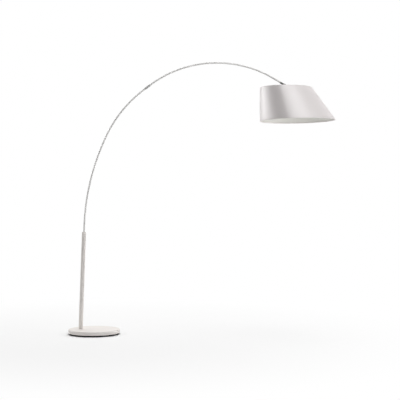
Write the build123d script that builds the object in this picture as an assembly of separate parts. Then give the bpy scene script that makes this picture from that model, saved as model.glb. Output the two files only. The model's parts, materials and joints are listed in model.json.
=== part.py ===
"""Arc floor lamp: weighted round base, leaning pole, two-piece curved arm, oblique shade.

Millimetres. Origin on the floor under the middle of the base, +Z up, +X from the pole
towards the shade, so the arc lies in the XZ plane.
"""
import math
import os

from build123d import *

# Fits
SEAT_FIT = 0.05
RUNNING_FIT = 0.06
SCREW_FIT = 0.1

# Base
BASE_DIAMETER = 368.0
PAD_HEIGHT = 11.0
PAD_INSET = 12.0
PAD_EDGE_RADIUS = 1.5
COVER_HEIGHT = 26.0
COVER_WALL = 1.5
COVER_TAPER = 4.0
COVER_EDGE_RADIUS = 7.0
WEIGHT_SIDE_GAP = 2.5
WEIGHT_CHAMFER = 2.0
WEIGHT_WEB = 5.0
STUD_POCKET_DIAMETER = 44.0
LEAD_GROOVE_WIDTH = 8.0
LEAD_GROOVE_DEPTH = 8.0

# Lead and its way in
LEAD_DIAMETER = 4.5
LEAD_WAY = 5.6
LEAD_CORNER_RADIUS = 18.0
LEAD_FOOT_RADIUS = 7.0
LEAD_FLOOR_GAP = 1.25
GLAND_HEIGHT = 19.5
GLAND_BODY_DIAMETER = 10.0
GLAND_FLANGE_DIAMETER = 14.0
GLAND_FLANGE = 2.0
GLAND_BORE = 6.4
GLAND_POCKET = 18.0
TERMINAL_WIDTH = 22.0
TERMINAL_LENGTH = 18.0
TERMINAL_HEIGHT = 11.0
TERMINAL_PLACE_Y = 132.0
TERMINAL_GAP = 2.0

# Pole
POLE_DIAMETER = 30.0
POLE_WALL = 1.5
POLE_LENGTH = 691.5
POLE_PLACE_X = -96.0
POLE_LEAN = 2.0
CAP_HEIGHT = 12.0
CAP_SPIGOT = 25.0
CAP_EDGE_RADIUS = 4.0
PLUG_LENGTH = 30.0
STUD_DIAMETER = 16.0
STUD_FREE_END = 1.0
FOOT_WASHER_DIAMETER = 34.0
FOOT_WASHER_THICKNESS = 2.0
FOOT_NUT_FLATS = 24.0
FOOT_NUT_HEIGHT = 6.0

# Arm
TUBE_DIAMETER = 12.0
TUBE_WALL = 1.2
ARM_INSERTION = 170.0
ARM_RISE = 44.0
BEND_1_RADIUS = 1602.0
BEND_1_TURN = 21.3
BEND_GAP = 36.0
BEND_2_RADIUS = 895.0
BEND_2_TURN = 30.0
BEND_3_RADIUS = 794.0
BEND_3_TURN = 68.0
SPLICE_HALF = 25.0
SLEEVE_DIAMETER = 16.0
SLEEVE_LENGTH = 46.0
SLEEVE_EDGE_RADIUS = 1.5
SLEEVE_SCREW_DIAMETER = 4.0
SLEEVE_SCREW_PLACE = 14.0
SPIGOT_WALL = 1.6
TUBE_END_RUN = 45.0

# Swing bearing
BUSH_WALL = 2.0
FOOT_COLLAR_DIAMETER = 20.0
FOOT_COLLAR_SOLID = 16.0
FOOT_COLLAR_SOCKET = 18.0
FOOT_BUSH_FLOOR = 5.0
THRUST_GAP = 0.3
SWING_LIMIT = 80.0
STOP_SCREW_DIAMETER = 5.0
STOP_SLOT_FLOOR = 12.8
STOP_SLOT_GAP = 0.3
FRICTION_SCREW_DIAMETER = 5.0
SCREW_RECESS = 0.4
SOCKET_SHARE = 0.5
SOCKET_DEPTH = 2.0

# Swivel at the arm's end
FORK_BODY_DIAMETER = 13.0
FORK_BODY_START = 47.0
FORK_SPIGOT = 18.0
FORK_HEAD_DEPTH = 15.0
FORK_HEAD_LENGTH = 15.0
FORK_HEAD_TAPER = 6.0
FORK_EAR = 4.5
FORK_CROTCH_GAP = 1.6
FORK_EDGE_RADIUS = 1.2
FORK_SCREW_DIAMETER = 3.0
TONGUE_WIDTH = 10.4
TONGUE_SLOT = 6.0
WASHER_THICKNESS = 0.7
WASHER_DIAMETER = 13.0
PIVOT_DIAMETER = 5.0
PIVOT_HEAD_DIAMETER = 9.0
PIVOT_HEAD_HEIGHT = 2.6
PIVOT_REACH = 1.6
LEAD_JOINT_GAP = 3.2

# Lamp holder, heights measured downwards from the swivel's axis
STEM_DIAMETER = 10.0
LOCKNUT_FLATS = 14.0
LOCKNUT_HEIGHT = 4.0
HOLDER_TOP = 24.0
HOLDER_CAP_HEIGHT = 24.0
HOLDER_DIAMETER = 40.0
HOLDER_CAP_WALL = 2.0
HOLDER_BOSS_DIAMETER = 18.0
HOLDER_BOSS_HEIGHT = 12.0
HOLDER_SHOULDER = 9.0
SKIRT_DIAMETER = 39.5
SKIRT_BORE = 31.0
SKIRT_LENGTH = 36.0
SKIRT_FLANGE_DIAMETER = 48.0
SKIRT_FLANGE = 3.0
CORE_DIAMETER = 30.0
CORE_FLANGE_DIAMETER = 35.0
CORE_FLANGE = 3.5
CORE_RISE = 9.0
CORE_DROP = 3.0
TERMINAL_SCREW_DIAMETER = 4.4
TERMINAL_SCREW_HEIGHT = 2.5
TERMINAL_SCREW_PLACE = 12.0
SHELL_BORE = 26.8
SHELL_WALL = 0.6
SHELL_LENGTH = 20.0
CONTACT_DIAMETER = 8.0
CONTACT_HEIGHT = 3.5
RING_DIAMETER = 56.0
RING_HEIGHT = 8.0
RING_GRIP_COUNT = 24
RING_GRIP_RADIUS = 1.6

# Bulb
BULB_CAP_DIAMETER = 26.2
BULB_CAP_LENGTH = 22.0
BULB_INSULATOR_HEIGHT = 4.0
BULB_PIP_DIAMETER = 8.0
BULB_PIP_HEIGHT = 1.0
BULB_DIAMETER = 60.0
BULB_GLASS = 1.0
BULB_NECK_LENGTH = 50.0
BULB_JOIN_ANGLE = 35.0

# Shade
SHADE_TOP_DIAMETER = 371.0
SHADE_BOTTOM_DIAMETER = 541.0
SHADE_HEIGHT = 238.5
SHADE_BOTTOM_TILT = 1.0
SHADE_RIM_DROP = 11.2
SHADE_WALL = 1.2
WIRE_DIAMETER = 4.0
WIRE_INSET = 3.0
SPOKE_COUNT = 3
HUB_DIAMETER = 66.0
HUB_THICKNESS = 2.0
HUB_PLAY = 0.1
SPOKE_WELD_SINK = 0.8
SPOKE_WELD_REACH = 3.0

# Values that follow from the sizes above
BASE_TOP = PAD_HEIGHT + COVER_HEIGHT
BASE_RADIUS = BASE_DIAMETER / 2
COVER_SLOPE = math.atan2(COVER_TAPER, COVER_HEIGHT)
COVER_EDGE_SPREAD = COVER_EDGE_RADIUS * (math.tan(COVER_SLOPE) + 1 / math.cos(COVER_SLOPE) - 1)
COVER_UPPER_RADIUS = BASE_RADIUS + COVER_EDGE_SPREAD
COVER_LOWER_RADIUS = COVER_UPPER_RADIUS - COVER_TAPER
WEIGHT_RADIUS = COVER_LOWER_RADIUS - COVER_WALL - WEIGHT_SIDE_GAP
WEIGHT_TOP = BASE_TOP - COVER_WALL
POLE_BORE = POLE_DIAMETER - 2 * POLE_WALL
TUBE_BORE = TUBE_DIAMETER - 2 * TUBE_WALL
STUD_SEAT = -(COVER_WALL + WEIGHT_WEB)
STUD_NUT_TOP = STUD_SEAT - FOOT_WASHER_THICKNESS
STUD_END = STUD_NUT_TOP - FOOT_NUT_HEIGHT - STUD_FREE_END
ARM_START = POLE_LENGTH - ARM_INSERTION
COLLAR_BOTTOM = ARM_START - FOOT_COLLAR_SOLID
FOOT_BUSH_BORE = FOOT_COLLAR_DIAMETER + 2 * RUNNING_FIT
BUSH_DIAMETER = TUBE_DIAMETER + 2 * (RUNNING_FIT + BUSH_WALL)
FORK_GAP = TONGUE_WIDTH + 2 * (WASHER_THICKNESS + 2 * SEAT_FIT)
FORK_WIDTH = FORK_GAP + 2 * FORK_EAR
TONGUE_RADIUS = FORK_HEAD_DEPTH / 2
HOLDER_JOINT = HOLDER_TOP + HOLDER_CAP_HEIGHT
SKIRT_SEAT = HOLDER_JOINT + SKIRT_FLANGE
HUB_TOP = SKIRT_SEAT + HUB_PLAY
RING_TOP = HUB_TOP + HUB_THICKNESS + HUB_PLAY
CORE_TOP = HOLDER_JOINT - CORE_RISE
CORE_BOTTOM = HOLDER_JOINT + CORE_FLANGE + CORE_DROP
BULB_PIP_TOP = CORE_BOTTOM + CONTACT_HEIGHT
BULB_CAP_TOP = BULB_PIP_TOP + BULB_PIP_HEIGHT + BULB_INSULATOR_HEIGHT
BULB_NECK_TOP = BULB_CAP_TOP + BULB_CAP_LENGTH
STEM_END = HOLDER_TOP + HOLDER_BOSS_HEIGHT
SHADE_SHIFT = (SHADE_BOTTOM_DIAMETER - SHADE_TOP_DIAMETER) / 2

BELOW = (Align.CENTER, Align.CENTER, Align.MIN)


def rod(diameter, start, end):
    """Round bar on the local Z axis between two heights."""
    return Pos(0, 0, start) * Cylinder(diameter / 2, end - start, align=BELOW)


def pipe(outer, inner, start, end):
    """Round bar with a through bore on the local Z axis."""
    return rod(outer, start, end) - rod(inner, start, end)


def hexagon_bar(flats, start, end):
    """Six-sided bar on the local Z axis between two heights."""
    corner = flats / math.sqrt(3)
    return extrude(Pos(0, 0, start) * RegularPolygon(corner, 6), end - start)


def grub_screw(diameter, inner_reach, outer_reach):
    """Headless screw along local Y, hexagon socket in its outer end."""
    body = rod(diameter, inner_reach, outer_reach)
    body -= hexagon_bar(SOCKET_SHARE * diameter, outer_reach - SOCKET_DEPTH, outer_reach)
    return Rot(-90, 0, 0) * body


def short_screw(diameter, inner_reach, outer_reach):
    """Headless screw along local Z, hexagon socket in the outer half of its length."""
    body = rod(diameter, inner_reach, outer_reach)
    return body - hexagon_bar(SOCKET_SHARE * diameter, (inner_reach + outer_reach) / 2, outer_reach)


def sideways_bar(diameter, width):
    """Round bar along local Y, centred."""
    return Rot(90, 0, 0) * Cylinder(diameter / 2, width)


def turned(*points):
    """Solid of revolution about the local Z axis from (radius, height) corners."""
    outline = Polyline(*[(r, 0, z) for r, z in points], close=True)
    return revolve(make_face(outline), Axis.Z)


# Frames of the leaning pole, the arm's stations and the lamp holder

LEAN = math.radians(POLE_LEAN)
POLE_FRAME = Plane(
    origin=(POLE_PLACE_X, 0, BASE_TOP),
    x_dir=(math.cos(LEAN), 0, -math.sin(LEAN)),
    z_dir=(math.sin(LEAN), 0, math.cos(LEAN)),
)


def heading(angle):
    """Direction in the arc plane; the angle opens from straight up towards +X."""
    return Vector(math.sin(angle), 0, math.cos(angle))


def bend_point(start, angle, radius, turn):
    """Point reached from a start and heading after a turn on a given radius."""
    return start + Vector(
        radius * (math.cos(angle) - math.cos(angle + turn)),
        0,
        radius * (math.sin(angle + turn) - math.sin(angle)),
    )


TURN_1 = math.radians(BEND_1_TURN)
TURN_2 = math.radians(BEND_2_TURN)
TURN_3 = math.radians(BEND_3_TURN)
SPLICE_ANGLE = LEAN + TURN_1 + TURN_2
END_ANGLE = SPLICE_ANGLE + TURN_3

POLE_FOOT_POINT = Vector(POLE_PLACE_X, 0, BASE_TOP)
ARM_FOOT_POINT = POLE_FOOT_POINT + heading(LEAN) * ARM_START
POLE_TOP_POINT = POLE_FOOT_POINT + heading(LEAN) * POLE_LENGTH
BEND_1_START = POLE_TOP_POINT + heading(LEAN) * ARM_RISE
BEND_1_END = bend_point(BEND_1_START, LEAN, BEND_1_RADIUS, TURN_1)
BEND_2_START = BEND_1_END + heading(LEAN + TURN_1) * BEND_GAP
BEND_2_END = bend_point(BEND_2_START, LEAN + TURN_1, BEND_2_RADIUS, TURN_2)
SPLICE_POINT = BEND_2_END + heading(SPLICE_ANGLE) * SPLICE_HALF
BEND_3_START = SPLICE_POINT + heading(SPLICE_ANGLE) * SPLICE_HALF
BEND_3_END = bend_point(BEND_3_START, SPLICE_ANGLE, BEND_3_RADIUS, TURN_3)
TUBE_END_POINT = BEND_3_END + heading(END_ANGLE) * TUBE_END_RUN
PIVOT_POINT = TUBE_END_POINT + heading(END_ANGLE) * FORK_BODY_START
LEAD_END_POINT = PIVOT_POINT - heading(END_ANGLE) * LEAD_JOINT_GAP

SPLICE_FRAME = Plane(
    origin=SPLICE_POINT,
    x_dir=(math.cos(SPLICE_ANGLE), 0, -math.sin(SPLICE_ANGLE)),
    z_dir=heading(SPLICE_ANGLE),
)
FORK_FRAME = Plane(
    origin=PIVOT_POINT,
    x_dir=(-math.cos(END_ANGLE), 0, math.sin(END_ANGLE)),
    z_dir=-heading(END_ANGLE),
)
HOLDER_FRAME = Plane(origin=PIVOT_POINT, x_dir=(1, 0, 0), z_dir=(0, 0, -1))


def bend_edge(start, angle, radius, turn):
    """Circular edge in the arc plane, tangent to the heading at its start."""
    middle = bend_point(start, angle, radius, turn / 2)
    return ThreePointArc(start, middle, bend_point(start, angle, radius, turn)).edge()


def straight_edge(start, end):
    """Straight edge between two points."""
    return Line(start, end).edge()


def lower_arm_edges():
    """Axis of the arm from its foot in the pole to the splice."""
    return [
        straight_edge(ARM_FOOT_POINT, BEND_1_START),
        bend_edge(BEND_1_START, LEAN, BEND_1_RADIUS, TURN_1),
        straight_edge(BEND_1_END, BEND_2_START),
        bend_edge(BEND_2_START, LEAN + TURN_1, BEND_2_RADIUS, TURN_2),
        straight_edge(BEND_2_END, SPLICE_POINT),
    ]


def upper_arm_edges():
    """Axis of the arm from the splice to the end of the tube."""
    return [
        straight_edge(SPLICE_POINT, BEND_3_START),
        bend_edge(BEND_3_START, SPLICE_ANGLE, BEND_3_RADIUS, TURN_3),
        straight_edge(BEND_3_END, TUBE_END_POINT),
    ]


def round_along(edges, diameter):
    """Round bar swept along a chain of tangent edges."""
    path = Wire(edges)
    section = Plane(origin=path @ 0, z_dir=path % 0) * Circle(diameter / 2)
    return sweep(section, path=path)


def tube_along(edges, outer, inner):
    """Round tube swept along a chain of tangent edges."""
    return round_along(edges, outer) - round_along(edges, inner)


# Base pieces

GLAND_WALL_RADIUS = COVER_LOWER_RADIUS + (GLAND_HEIGHT - PAD_HEIGHT) * math.tan(COVER_SLOPE)
GLAND_FRAME = Plane(
    origin=(0, GLAND_WALL_RADIUS, GLAND_HEIGHT),
    x_dir=(1, 0, 0),
    z_dir=(0, math.cos(COVER_SLOPE), -math.sin(COVER_SLOPE)),
)
LEAD_LEVEL = PAD_HEIGHT + LEAD_FLOOR_GAP + LEAD_DIAMETER / 2
STUD_END_POINT = POLE_FOOT_POINT + heading(LEAN) * STUD_END
GROOVE_CORNER_Y = -STUD_END_POINT.X
TERMINAL_INNER_Y = TERMINAL_PLACE_Y - TERMINAL_LENGTH / 2


def base_pad():
    """Black mat the lamp stands on."""
    pad = rod(2 * (BASE_RADIUS - PAD_INSET), 0, PAD_HEIGHT)
    return fillet(pad.edges().group_by(Axis.Z)[0], PAD_EDGE_RADIUS)


def cover_form(inset):
    """Closed form of the cover, drawn in evenly by an inset."""
    height = COVER_HEIGHT - inset
    upper_radius = COVER_UPPER_RADIUS - inset - inset * math.tan(COVER_SLOPE)
    form = Pos(0, 0, PAD_HEIGHT) * Cone(COVER_LOWER_RADIUS - inset, upper_radius, height, align=BELOW)
    return fillet(form.edges().group_by(Axis.Z)[-1], COVER_EDGE_RADIUS - inset)


def base_cover():
    """Spun cover with the stud hole and the gland's hole."""
    cover = cover_form(0) - cover_form(COVER_WALL)
    cover -= POLE_FRAME * rod(STUD_DIAMETER + 2 * SCREW_FIT, -2 * COVER_WALL, COVER_WALL)
    return cover - GLAND_FRAME * rod(GLAND_BODY_DIAMETER + 2 * SEAT_FIT, -3 * COVER_WALL, COVER_WALL)


def groove_bar(start, end):
    """Flat-topped groove cutter between two points on the weight's underside."""
    run = math.hypot(end[0] - start[0], end[1] - start[1])
    turn = math.degrees(math.atan2(end[1] - start[1], end[0] - start[0]))
    middle = ((start[0] + end[0]) / 2, (start[1] + end[1]) / 2, PAD_HEIGHT)
    bar = Box(run + LEAD_GROOVE_WIDTH, LEAD_GROOVE_WIDTH, LEAD_GROOVE_DEPTH, align=BELOW)
    return Pos(*middle) * Rot(0, 0, turn) * bar


def base_weight():
    """Cast disc with the stud's pocket, the lead's groove and the terminal pocket."""
    weight = rod(2 * WEIGHT_RADIUS, PAD_HEIGHT, WEIGHT_TOP)
    weight = chamfer(weight.edges().group_by(Axis.Z)[-1], WEIGHT_CHAMFER)
    weight -= POLE_FRAME * rod(STUD_DIAMETER + 2 * SCREW_FIT, STUD_SEAT, COVER_HEIGHT)
    weight -= POLE_FRAME * rod(STUD_POCKET_DIAMETER, STUD_SEAT - COVER_HEIGHT, STUD_SEAT)
    corner = (0, GROOVE_CORNER_Y)
    weight -= groove_bar((STUD_END_POINT.X, 0), corner)
    weight -= groove_bar(corner, (0, WEIGHT_RADIUS))
    pocket = Box(
        TERMINAL_WIDTH + 2 * TERMINAL_GAP,
        TERMINAL_LENGTH + 2 * TERMINAL_GAP,
        TERMINAL_HEIGHT + TERMINAL_GAP,
        align=BELOW,
    )
    weight -= Pos(0, TERMINAL_PLACE_Y, PAD_HEIGHT) * pocket
    gland_room = Box(GLAND_POCKET, GLAND_POCKET, GLAND_POCKET, align=BELOW)
    return weight - Pos(0, WEIGHT_RADIUS, PAD_HEIGHT) * gland_room


def cord_gland():
    """Rubber grommet in the cover's wall, open for the supply cord."""
    body = rod(GLAND_BODY_DIAMETER, -COVER_WALL - GLAND_FLANGE, GLAND_FLANGE)
    body += rod(GLAND_FLANGE_DIAMETER, SEAT_FIT, GLAND_FLANGE)
    inner_end = -COVER_WALL - 2 * SEAT_FIT
    body += rod(GLAND_FLANGE_DIAMETER, inner_end - GLAND_FLANGE, inner_end - 4 * SEAT_FIT)
    return GLAND_FRAME * (body - rod(GLAND_BORE, -2 * GLAND_POCKET, GLAND_POCKET))


def terminal_block():
    """Connector block in the weight's underside, with two screw wells, where the inner lead begins."""
    block = Box(TERMINAL_WIDTH, TERMINAL_LENGTH, TERMINAL_HEIGHT, align=BELOW)
    block = chamfer(block.edges().group_by(Axis.Z)[-1], TERMINAL_GAP / 2)
    well = rod(TERMINAL_SCREW_DIAMETER, TERMINAL_HEIGHT / 2, TERMINAL_HEIGHT)
    for side in (-1, 1):
        block -= Pos(side * TERMINAL_WIDTH / 4, 0, 0) * well
    return Pos(0, TERMINAL_PLACE_Y, PAD_HEIGHT) * block


def base_lead():
    """Inner lead from the terminal block through the groove and up the pole."""
    route = FilletPolyline(
        (0, TERMINAL_INNER_Y, LEAD_LEVEL),
        (0, GROOVE_CORNER_Y, LEAD_LEVEL),
        (STUD_END_POINT.X, 0, LEAD_LEVEL),
        POLE_FOOT_POINT + heading(LEAN) * (COLLAR_BOTTOM - THRUST_GAP),
        radius=(LEAD_CORNER_RADIUS, LEAD_FOOT_RADIUS),
    )
    return round_along(route.edges(), LEAD_DIAMETER)


# Pole pieces

def below_cover_top():
    """Cutter for all of the pole that lies under the cover's top."""
    top_down = (Align.CENTER, Align.CENTER, Align.MAX)
    return Pos(*POLE_FOOT_POINT) * Box(2 * POLE_DIAMETER, 2 * POLE_DIAMETER, POLE_DIAMETER, align=top_down)


def pole_foot():
    """Plug in the pole's lower end with the hollow stud that goes through the base."""
    plug = rod(POLE_BORE - 2 * SEAT_FIT, -POLE_WALL, PLUG_LENGTH)
    plug = POLE_FRAME * plug - below_cover_top()
    stud = POLE_FRAME * rod(STUD_DIAMETER, STUD_END, PLUG_LENGTH / 2)
    return plug + stud - POLE_FRAME * rod(LEAD_WAY, STUD_END, PLUG_LENGTH)


def foot_washer():
    """Flat washer under the weight's web."""
    return POLE_FRAME * pipe(FOOT_WASHER_DIAMETER, STUD_DIAMETER + 2 * SCREW_FIT, STUD_NUT_TOP, STUD_SEAT)


def foot_nut():
    """Nut that clamps the pole, the cover and the weight together."""
    nut = hexagon_bar(FOOT_NUT_FLATS, STUD_NUT_TOP - FOOT_NUT_HEIGHT, STUD_NUT_TOP)
    return POLE_FRAME * (nut - rod(STUD_DIAMETER + 2 * SEAT_FIT, STUD_END, STUD_SEAT))


STOP_HEIGHT = COLLAR_BOTTOM + FOOT_COLLAR_SOLID / 2
FRICTION_HEIGHT = POLE_LENGTH - CAP_HEIGHT / 2


def side_hole(height, diameter):
    """Cutter for a screw hole in the pole's far side."""
    return POLE_FRAME * (Pos(0, 0, height) * (Rot(-90, 0, 0) * rod(diameter, 0, POLE_DIAMETER)))


def pole_tube():
    """Leaning tube, mitred flat where it stands on the cover."""
    tube = POLE_FRAME * pipe(POLE_DIAMETER, POLE_BORE, -POLE_WALL, POLE_LENGTH - CAP_HEIGHT)
    tube -= below_cover_top()
    return tube - side_hole(STOP_HEIGHT, STOP_SCREW_DIAMETER + 2 * SEAT_FIT)


def pole_cap():
    """Turned cap with a rounded top that closes the pole round the arm."""
    cap = rod(POLE_DIAMETER, POLE_LENGTH - CAP_HEIGHT, POLE_LENGTH)
    cap = fillet(cap.edges().group_by(Axis.Z)[-1], CAP_EDGE_RADIUS)
    spigot_end = POLE_LENGTH - CAP_HEIGHT - CAP_SPIGOT
    cap += rod(POLE_BORE - 2 * SEAT_FIT, spigot_end, POLE_LENGTH - CAP_HEIGHT)
    cap -= rod(BUSH_DIAMETER + 2 * SEAT_FIT, spigot_end, POLE_LENGTH)
    return POLE_FRAME * cap - side_hole(FRICTION_HEIGHT, FRICTION_SCREW_DIAMETER + 2 * SEAT_FIT)


def arm_bush():
    """Upper nylon bearing of the swinging arm, inside the cap."""
    bore = TUBE_DIAMETER + 2 * RUNNING_FIT
    bottom = POLE_LENGTH - CAP_HEIGHT - CAP_SPIGOT
    bush = POLE_FRAME * pipe(BUSH_DIAMETER, bore, bottom, POLE_LENGTH - SCREW_RECESS)
    return bush - side_hole(FRICTION_HEIGHT, FRICTION_SCREW_DIAMETER + 2 * SCREW_FIT)


def friction_screw():
    """Set screw at the back of the cap that brakes the arm."""
    inner = TUBE_DIAMETER / 2 + THRUST_GAP
    screw = grub_screw(FRICTION_SCREW_DIAMETER, inner, POLE_DIAMETER / 2 - SCREW_RECESS)
    return POLE_FRAME * (Pos(0, 0, FRICTION_HEIGHT) * screw)


def foot_bush():
    """Lower nylon bearing, a cup that carries the arm's foot collar."""
    bottom = COLLAR_BOTTOM - THRUST_GAP - FOOT_BUSH_FLOOR
    top = ARM_START + FOOT_COLLAR_SOCKET
    cup = rod(POLE_BORE - 2 * SEAT_FIT, bottom, top)
    cup -= rod(FOOT_BUSH_BORE, COLLAR_BOTTOM - THRUST_GAP, top)
    cup -= rod(LEAD_WAY, bottom, top)
    return POLE_FRAME * cup - side_hole(STOP_HEIGHT, STOP_SCREW_DIAMETER + 2 * SEAT_FIT)


def stop_screw():
    """Set screw that holds the lower bearing and stops the arm's swing."""
    inner = STOP_SLOT_FLOOR / 2 + STOP_SLOT_GAP
    screw = grub_screw(STOP_SCREW_DIAMETER, inner, POLE_DIAMETER / 2 - SCREW_RECESS)
    return POLE_FRAME * (Pos(0, 0, STOP_HEIGHT) * screw)


# Arm pieces

def arm_foot():
    """Collar on the arm's lower end with the slot that runs on the stop screw."""
    collar = rod(FOOT_COLLAR_DIAMETER, COLLAR_BOTTOM, ARM_START + FOOT_COLLAR_SOCKET)
    collar -= rod(TUBE_DIAMETER + 2 * SEAT_FIT, ARM_START, ARM_START + FOOT_COLLAR_SOCKET)
    collar -= rod(LEAD_WAY, COLLAR_BOTTOM, ARM_START)
    tip_angle = math.degrees(math.asin(STOP_SCREW_DIAMETER / STOP_SLOT_FLOOR))
    half_slot = SWING_LIMIT + tip_angle
    width = STOP_SCREW_DIAMETER + 2 * STOP_SLOT_GAP
    slot = Cylinder(FOOT_COLLAR_DIAMETER, width, arc_size=2 * half_slot)
    slot = Rot(0, 0, 90 - half_slot) * slot
    slot -= Cylinder(STOP_SLOT_FLOOR / 2, width)
    return POLE_FRAME * (collar - Pos(0, 0, STOP_HEIGHT) * slot)


def arm_lower_tube():
    """Lower arm tube, straight in the pole and then bent on two radii."""
    return tube_along(lower_arm_edges(), TUBE_DIAMETER, TUBE_BORE)


def arm_upper_tube():
    """Upper arm tube, bent over on one radius down to the swivel."""
    tube = tube_along(upper_arm_edges(), TUBE_DIAMETER, TUBE_BORE)
    hole = rod(FORK_SCREW_DIAMETER + 2 * SEAT_FIT, 0, TUBE_DIAMETER)
    return tube - FORK_FRAME * (fork_screw_place() * hole)


def arm_spigot():
    """Inner tube that joins the two arm tubes."""
    outer = TUBE_BORE - 2 * SEAT_FIT
    return SPLICE_FRAME * pipe(outer, outer - 2 * SPIGOT_WALL, -SPLICE_HALF, SPLICE_HALF)


def sleeve_screw_places():
    """Places of the two set screws, on the arc's inner side."""
    return [Pos(0, 0, side * SLEEVE_SCREW_PLACE) * Rot(0, 90, 0) for side in (-1, 1)]


def arm_sleeve():
    """Outer sleeve over the splice."""
    sleeve = rod(SLEEVE_DIAMETER, -SLEEVE_LENGTH / 2, SLEEVE_LENGTH / 2)
    sleeve = fillet(sleeve.edges(), SLEEVE_EDGE_RADIUS)
    sleeve -= rod(TUBE_DIAMETER + 2 * SEAT_FIT, -SLEEVE_LENGTH, SLEEVE_LENGTH)
    for place in sleeve_screw_places():
        sleeve -= place * rod(SLEEVE_SCREW_DIAMETER + 2 * SEAT_FIT, 0, SLEEVE_DIAMETER)
    return SPLICE_FRAME * sleeve


def sleeve_screws():
    """Two set screws in the sleeve."""
    inner = TUBE_DIAMETER / 2 + SEAT_FIT
    screw = short_screw(SLEEVE_SCREW_DIAMETER, inner, SLEEVE_DIAMETER / 2 - SCREW_RECESS)
    return Compound([SPLICE_FRAME * (place * screw) for place in sleeve_screw_places()])


def arm_lead():
    """Inner lead from the arm's foot to the swivel."""
    foot = POLE_FOOT_POINT + heading(LEAN) * COLLAR_BOTTOM
    edges = [straight_edge(foot, ARM_FOOT_POINT)]
    edges += lower_arm_edges() + upper_arm_edges()
    edges.append(straight_edge(TUBE_END_POINT, LEAD_END_POINT))
    return round_along(edges, LEAD_DIAMETER)


# Swivel pieces

def fork_screw_place():
    """Place of the screw that pins the fork in the tube, on the arc's inner side."""
    return Pos(0, 0, FORK_BODY_START + FORK_SPIGOT / 2) * Rot(0, -90, 0)


def swivel_fork():
    """Dark end piece: spigot in the tube, slim body and the two ears of the swivel."""
    head = Box(FORK_HEAD_DEPTH, FORK_WIDTH, FORK_HEAD_LENGTH, align=BELOW)
    head += sideways_bar(FORK_HEAD_DEPTH, FORK_WIDTH)
    head = fillet(head.edges().filter_by(Axis.Z), FORK_EDGE_RADIUS)
    taper_end = FORK_HEAD_LENGTH + FORK_HEAD_TAPER
    cone = Cone(FORK_HEAD_DEPTH / 2, FORK_BODY_DIAMETER / 2, FORK_HEAD_TAPER, align=BELOW)
    fork = head + Pos(0, 0, FORK_HEAD_LENGTH) * cone
    fork += rod(FORK_BODY_DIAMETER, taper_end, FORK_BODY_START)
    fork += rod(TUBE_BORE - 2 * SEAT_FIT, FORK_BODY_START, FORK_BODY_START + FORK_SPIGOT)
    fork -= sideways_bar(FORK_HEAD_DEPTH + 2 * FORK_CROTCH_GAP, FORK_GAP)
    fork -= Pos(0, 0, -FORK_HEAD_DEPTH) * Box(2 * FORK_HEAD_DEPTH, FORK_GAP, FORK_HEAD_DEPTH, align=BELOW)
    fork -= rod(LEAD_WAY, 0, FORK_BODY_START + FORK_SPIGOT)
    fork -= sideways_bar(PIVOT_DIAMETER + 2 * SEAT_FIT, 2 * FORK_WIDTH)
    seat = rod(FORK_SCREW_DIAMETER + 2 * SEAT_FIT, LEAD_WAY / 2, TUBE_DIAMETER)
    return FORK_FRAME * (fork - fork_screw_place() * seat)


def fork_screw():
    """Set screw through the tube's wall into the fork's spigot."""
    screw = short_screw(FORK_SCREW_DIAMETER, LEAD_WAY / 2 + SEAT_FIT, TUBE_DIAMETER / 2 - SEAT_FIT)
    return FORK_FRAME * (fork_screw_place() * screw)


def pivot_screws():
    """Two shoulder screws, one from each side, so the lead passes between them."""
    outer = FORK_WIDTH / 2
    screw = rod(PIVOT_DIAMETER, TONGUE_WIDTH / 2 - PIVOT_REACH, outer)
    screw += rod(PIVOT_HEAD_DIAMETER, outer, outer + PIVOT_HEAD_HEIGHT)
    head_end = outer + PIVOT_HEAD_HEIGHT
    screw -= hexagon_bar(SOCKET_SHARE * PIVOT_DIAMETER, head_end - SOCKET_DEPTH, head_end)
    return Compound([FORK_FRAME * (Rot(side * 90, 0, 0) * screw) for side in (-1, 1)])


def friction_washers():
    """Two thin washers between the ears and the tongue."""
    start = TONGUE_WIDTH / 2 + SEAT_FIT
    washer = pipe(WASHER_DIAMETER, PIVOT_DIAMETER + 2 * SCREW_FIT, start, start + WASHER_THICKNESS)
    return Compound([FORK_FRAME * (Rot(side * 90, 0, 0) * washer) for side in (-1, 1)])


def swivel_tongue():
    """Hollow tongue with the threaded stem that carries the lamp holder."""
    tongue = sideways_bar(2 * TONGUE_RADIUS, TONGUE_WIDTH) + rod(STEM_DIAMETER, 0, STEM_END)
    tongue -= rod(LEAD_WAY, 0, STEM_END)
    reach = 2 * TONGUE_RADIUS
    quarter = Box(reach, TONGUE_SLOT, reach)
    half_way = LEAD_WAY / 2
    tongue -= Pos(half_way - reach / 2, 0, -reach / 2) * quarter
    tongue -= Pos(-reach / 2, 0, half_way - reach / 2) * quarter
    tongue -= sideways_bar(PIVOT_DIAMETER + 2 * RUNNING_FIT, 2 * TONGUE_WIDTH)
    return HOLDER_FRAME * tongue


def stem_locknut():
    """Thin nut that locks the stem in the holder's cap."""
    nut = hexagon_bar(LOCKNUT_FLATS, HOLDER_TOP - LOCKNUT_HEIGHT, HOLDER_TOP)
    return HOLDER_FRAME * (nut - rod(STEM_DIAMETER + 2 * SEAT_FIT, 0, HOLDER_TOP))


# Lamp holder pieces

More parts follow.
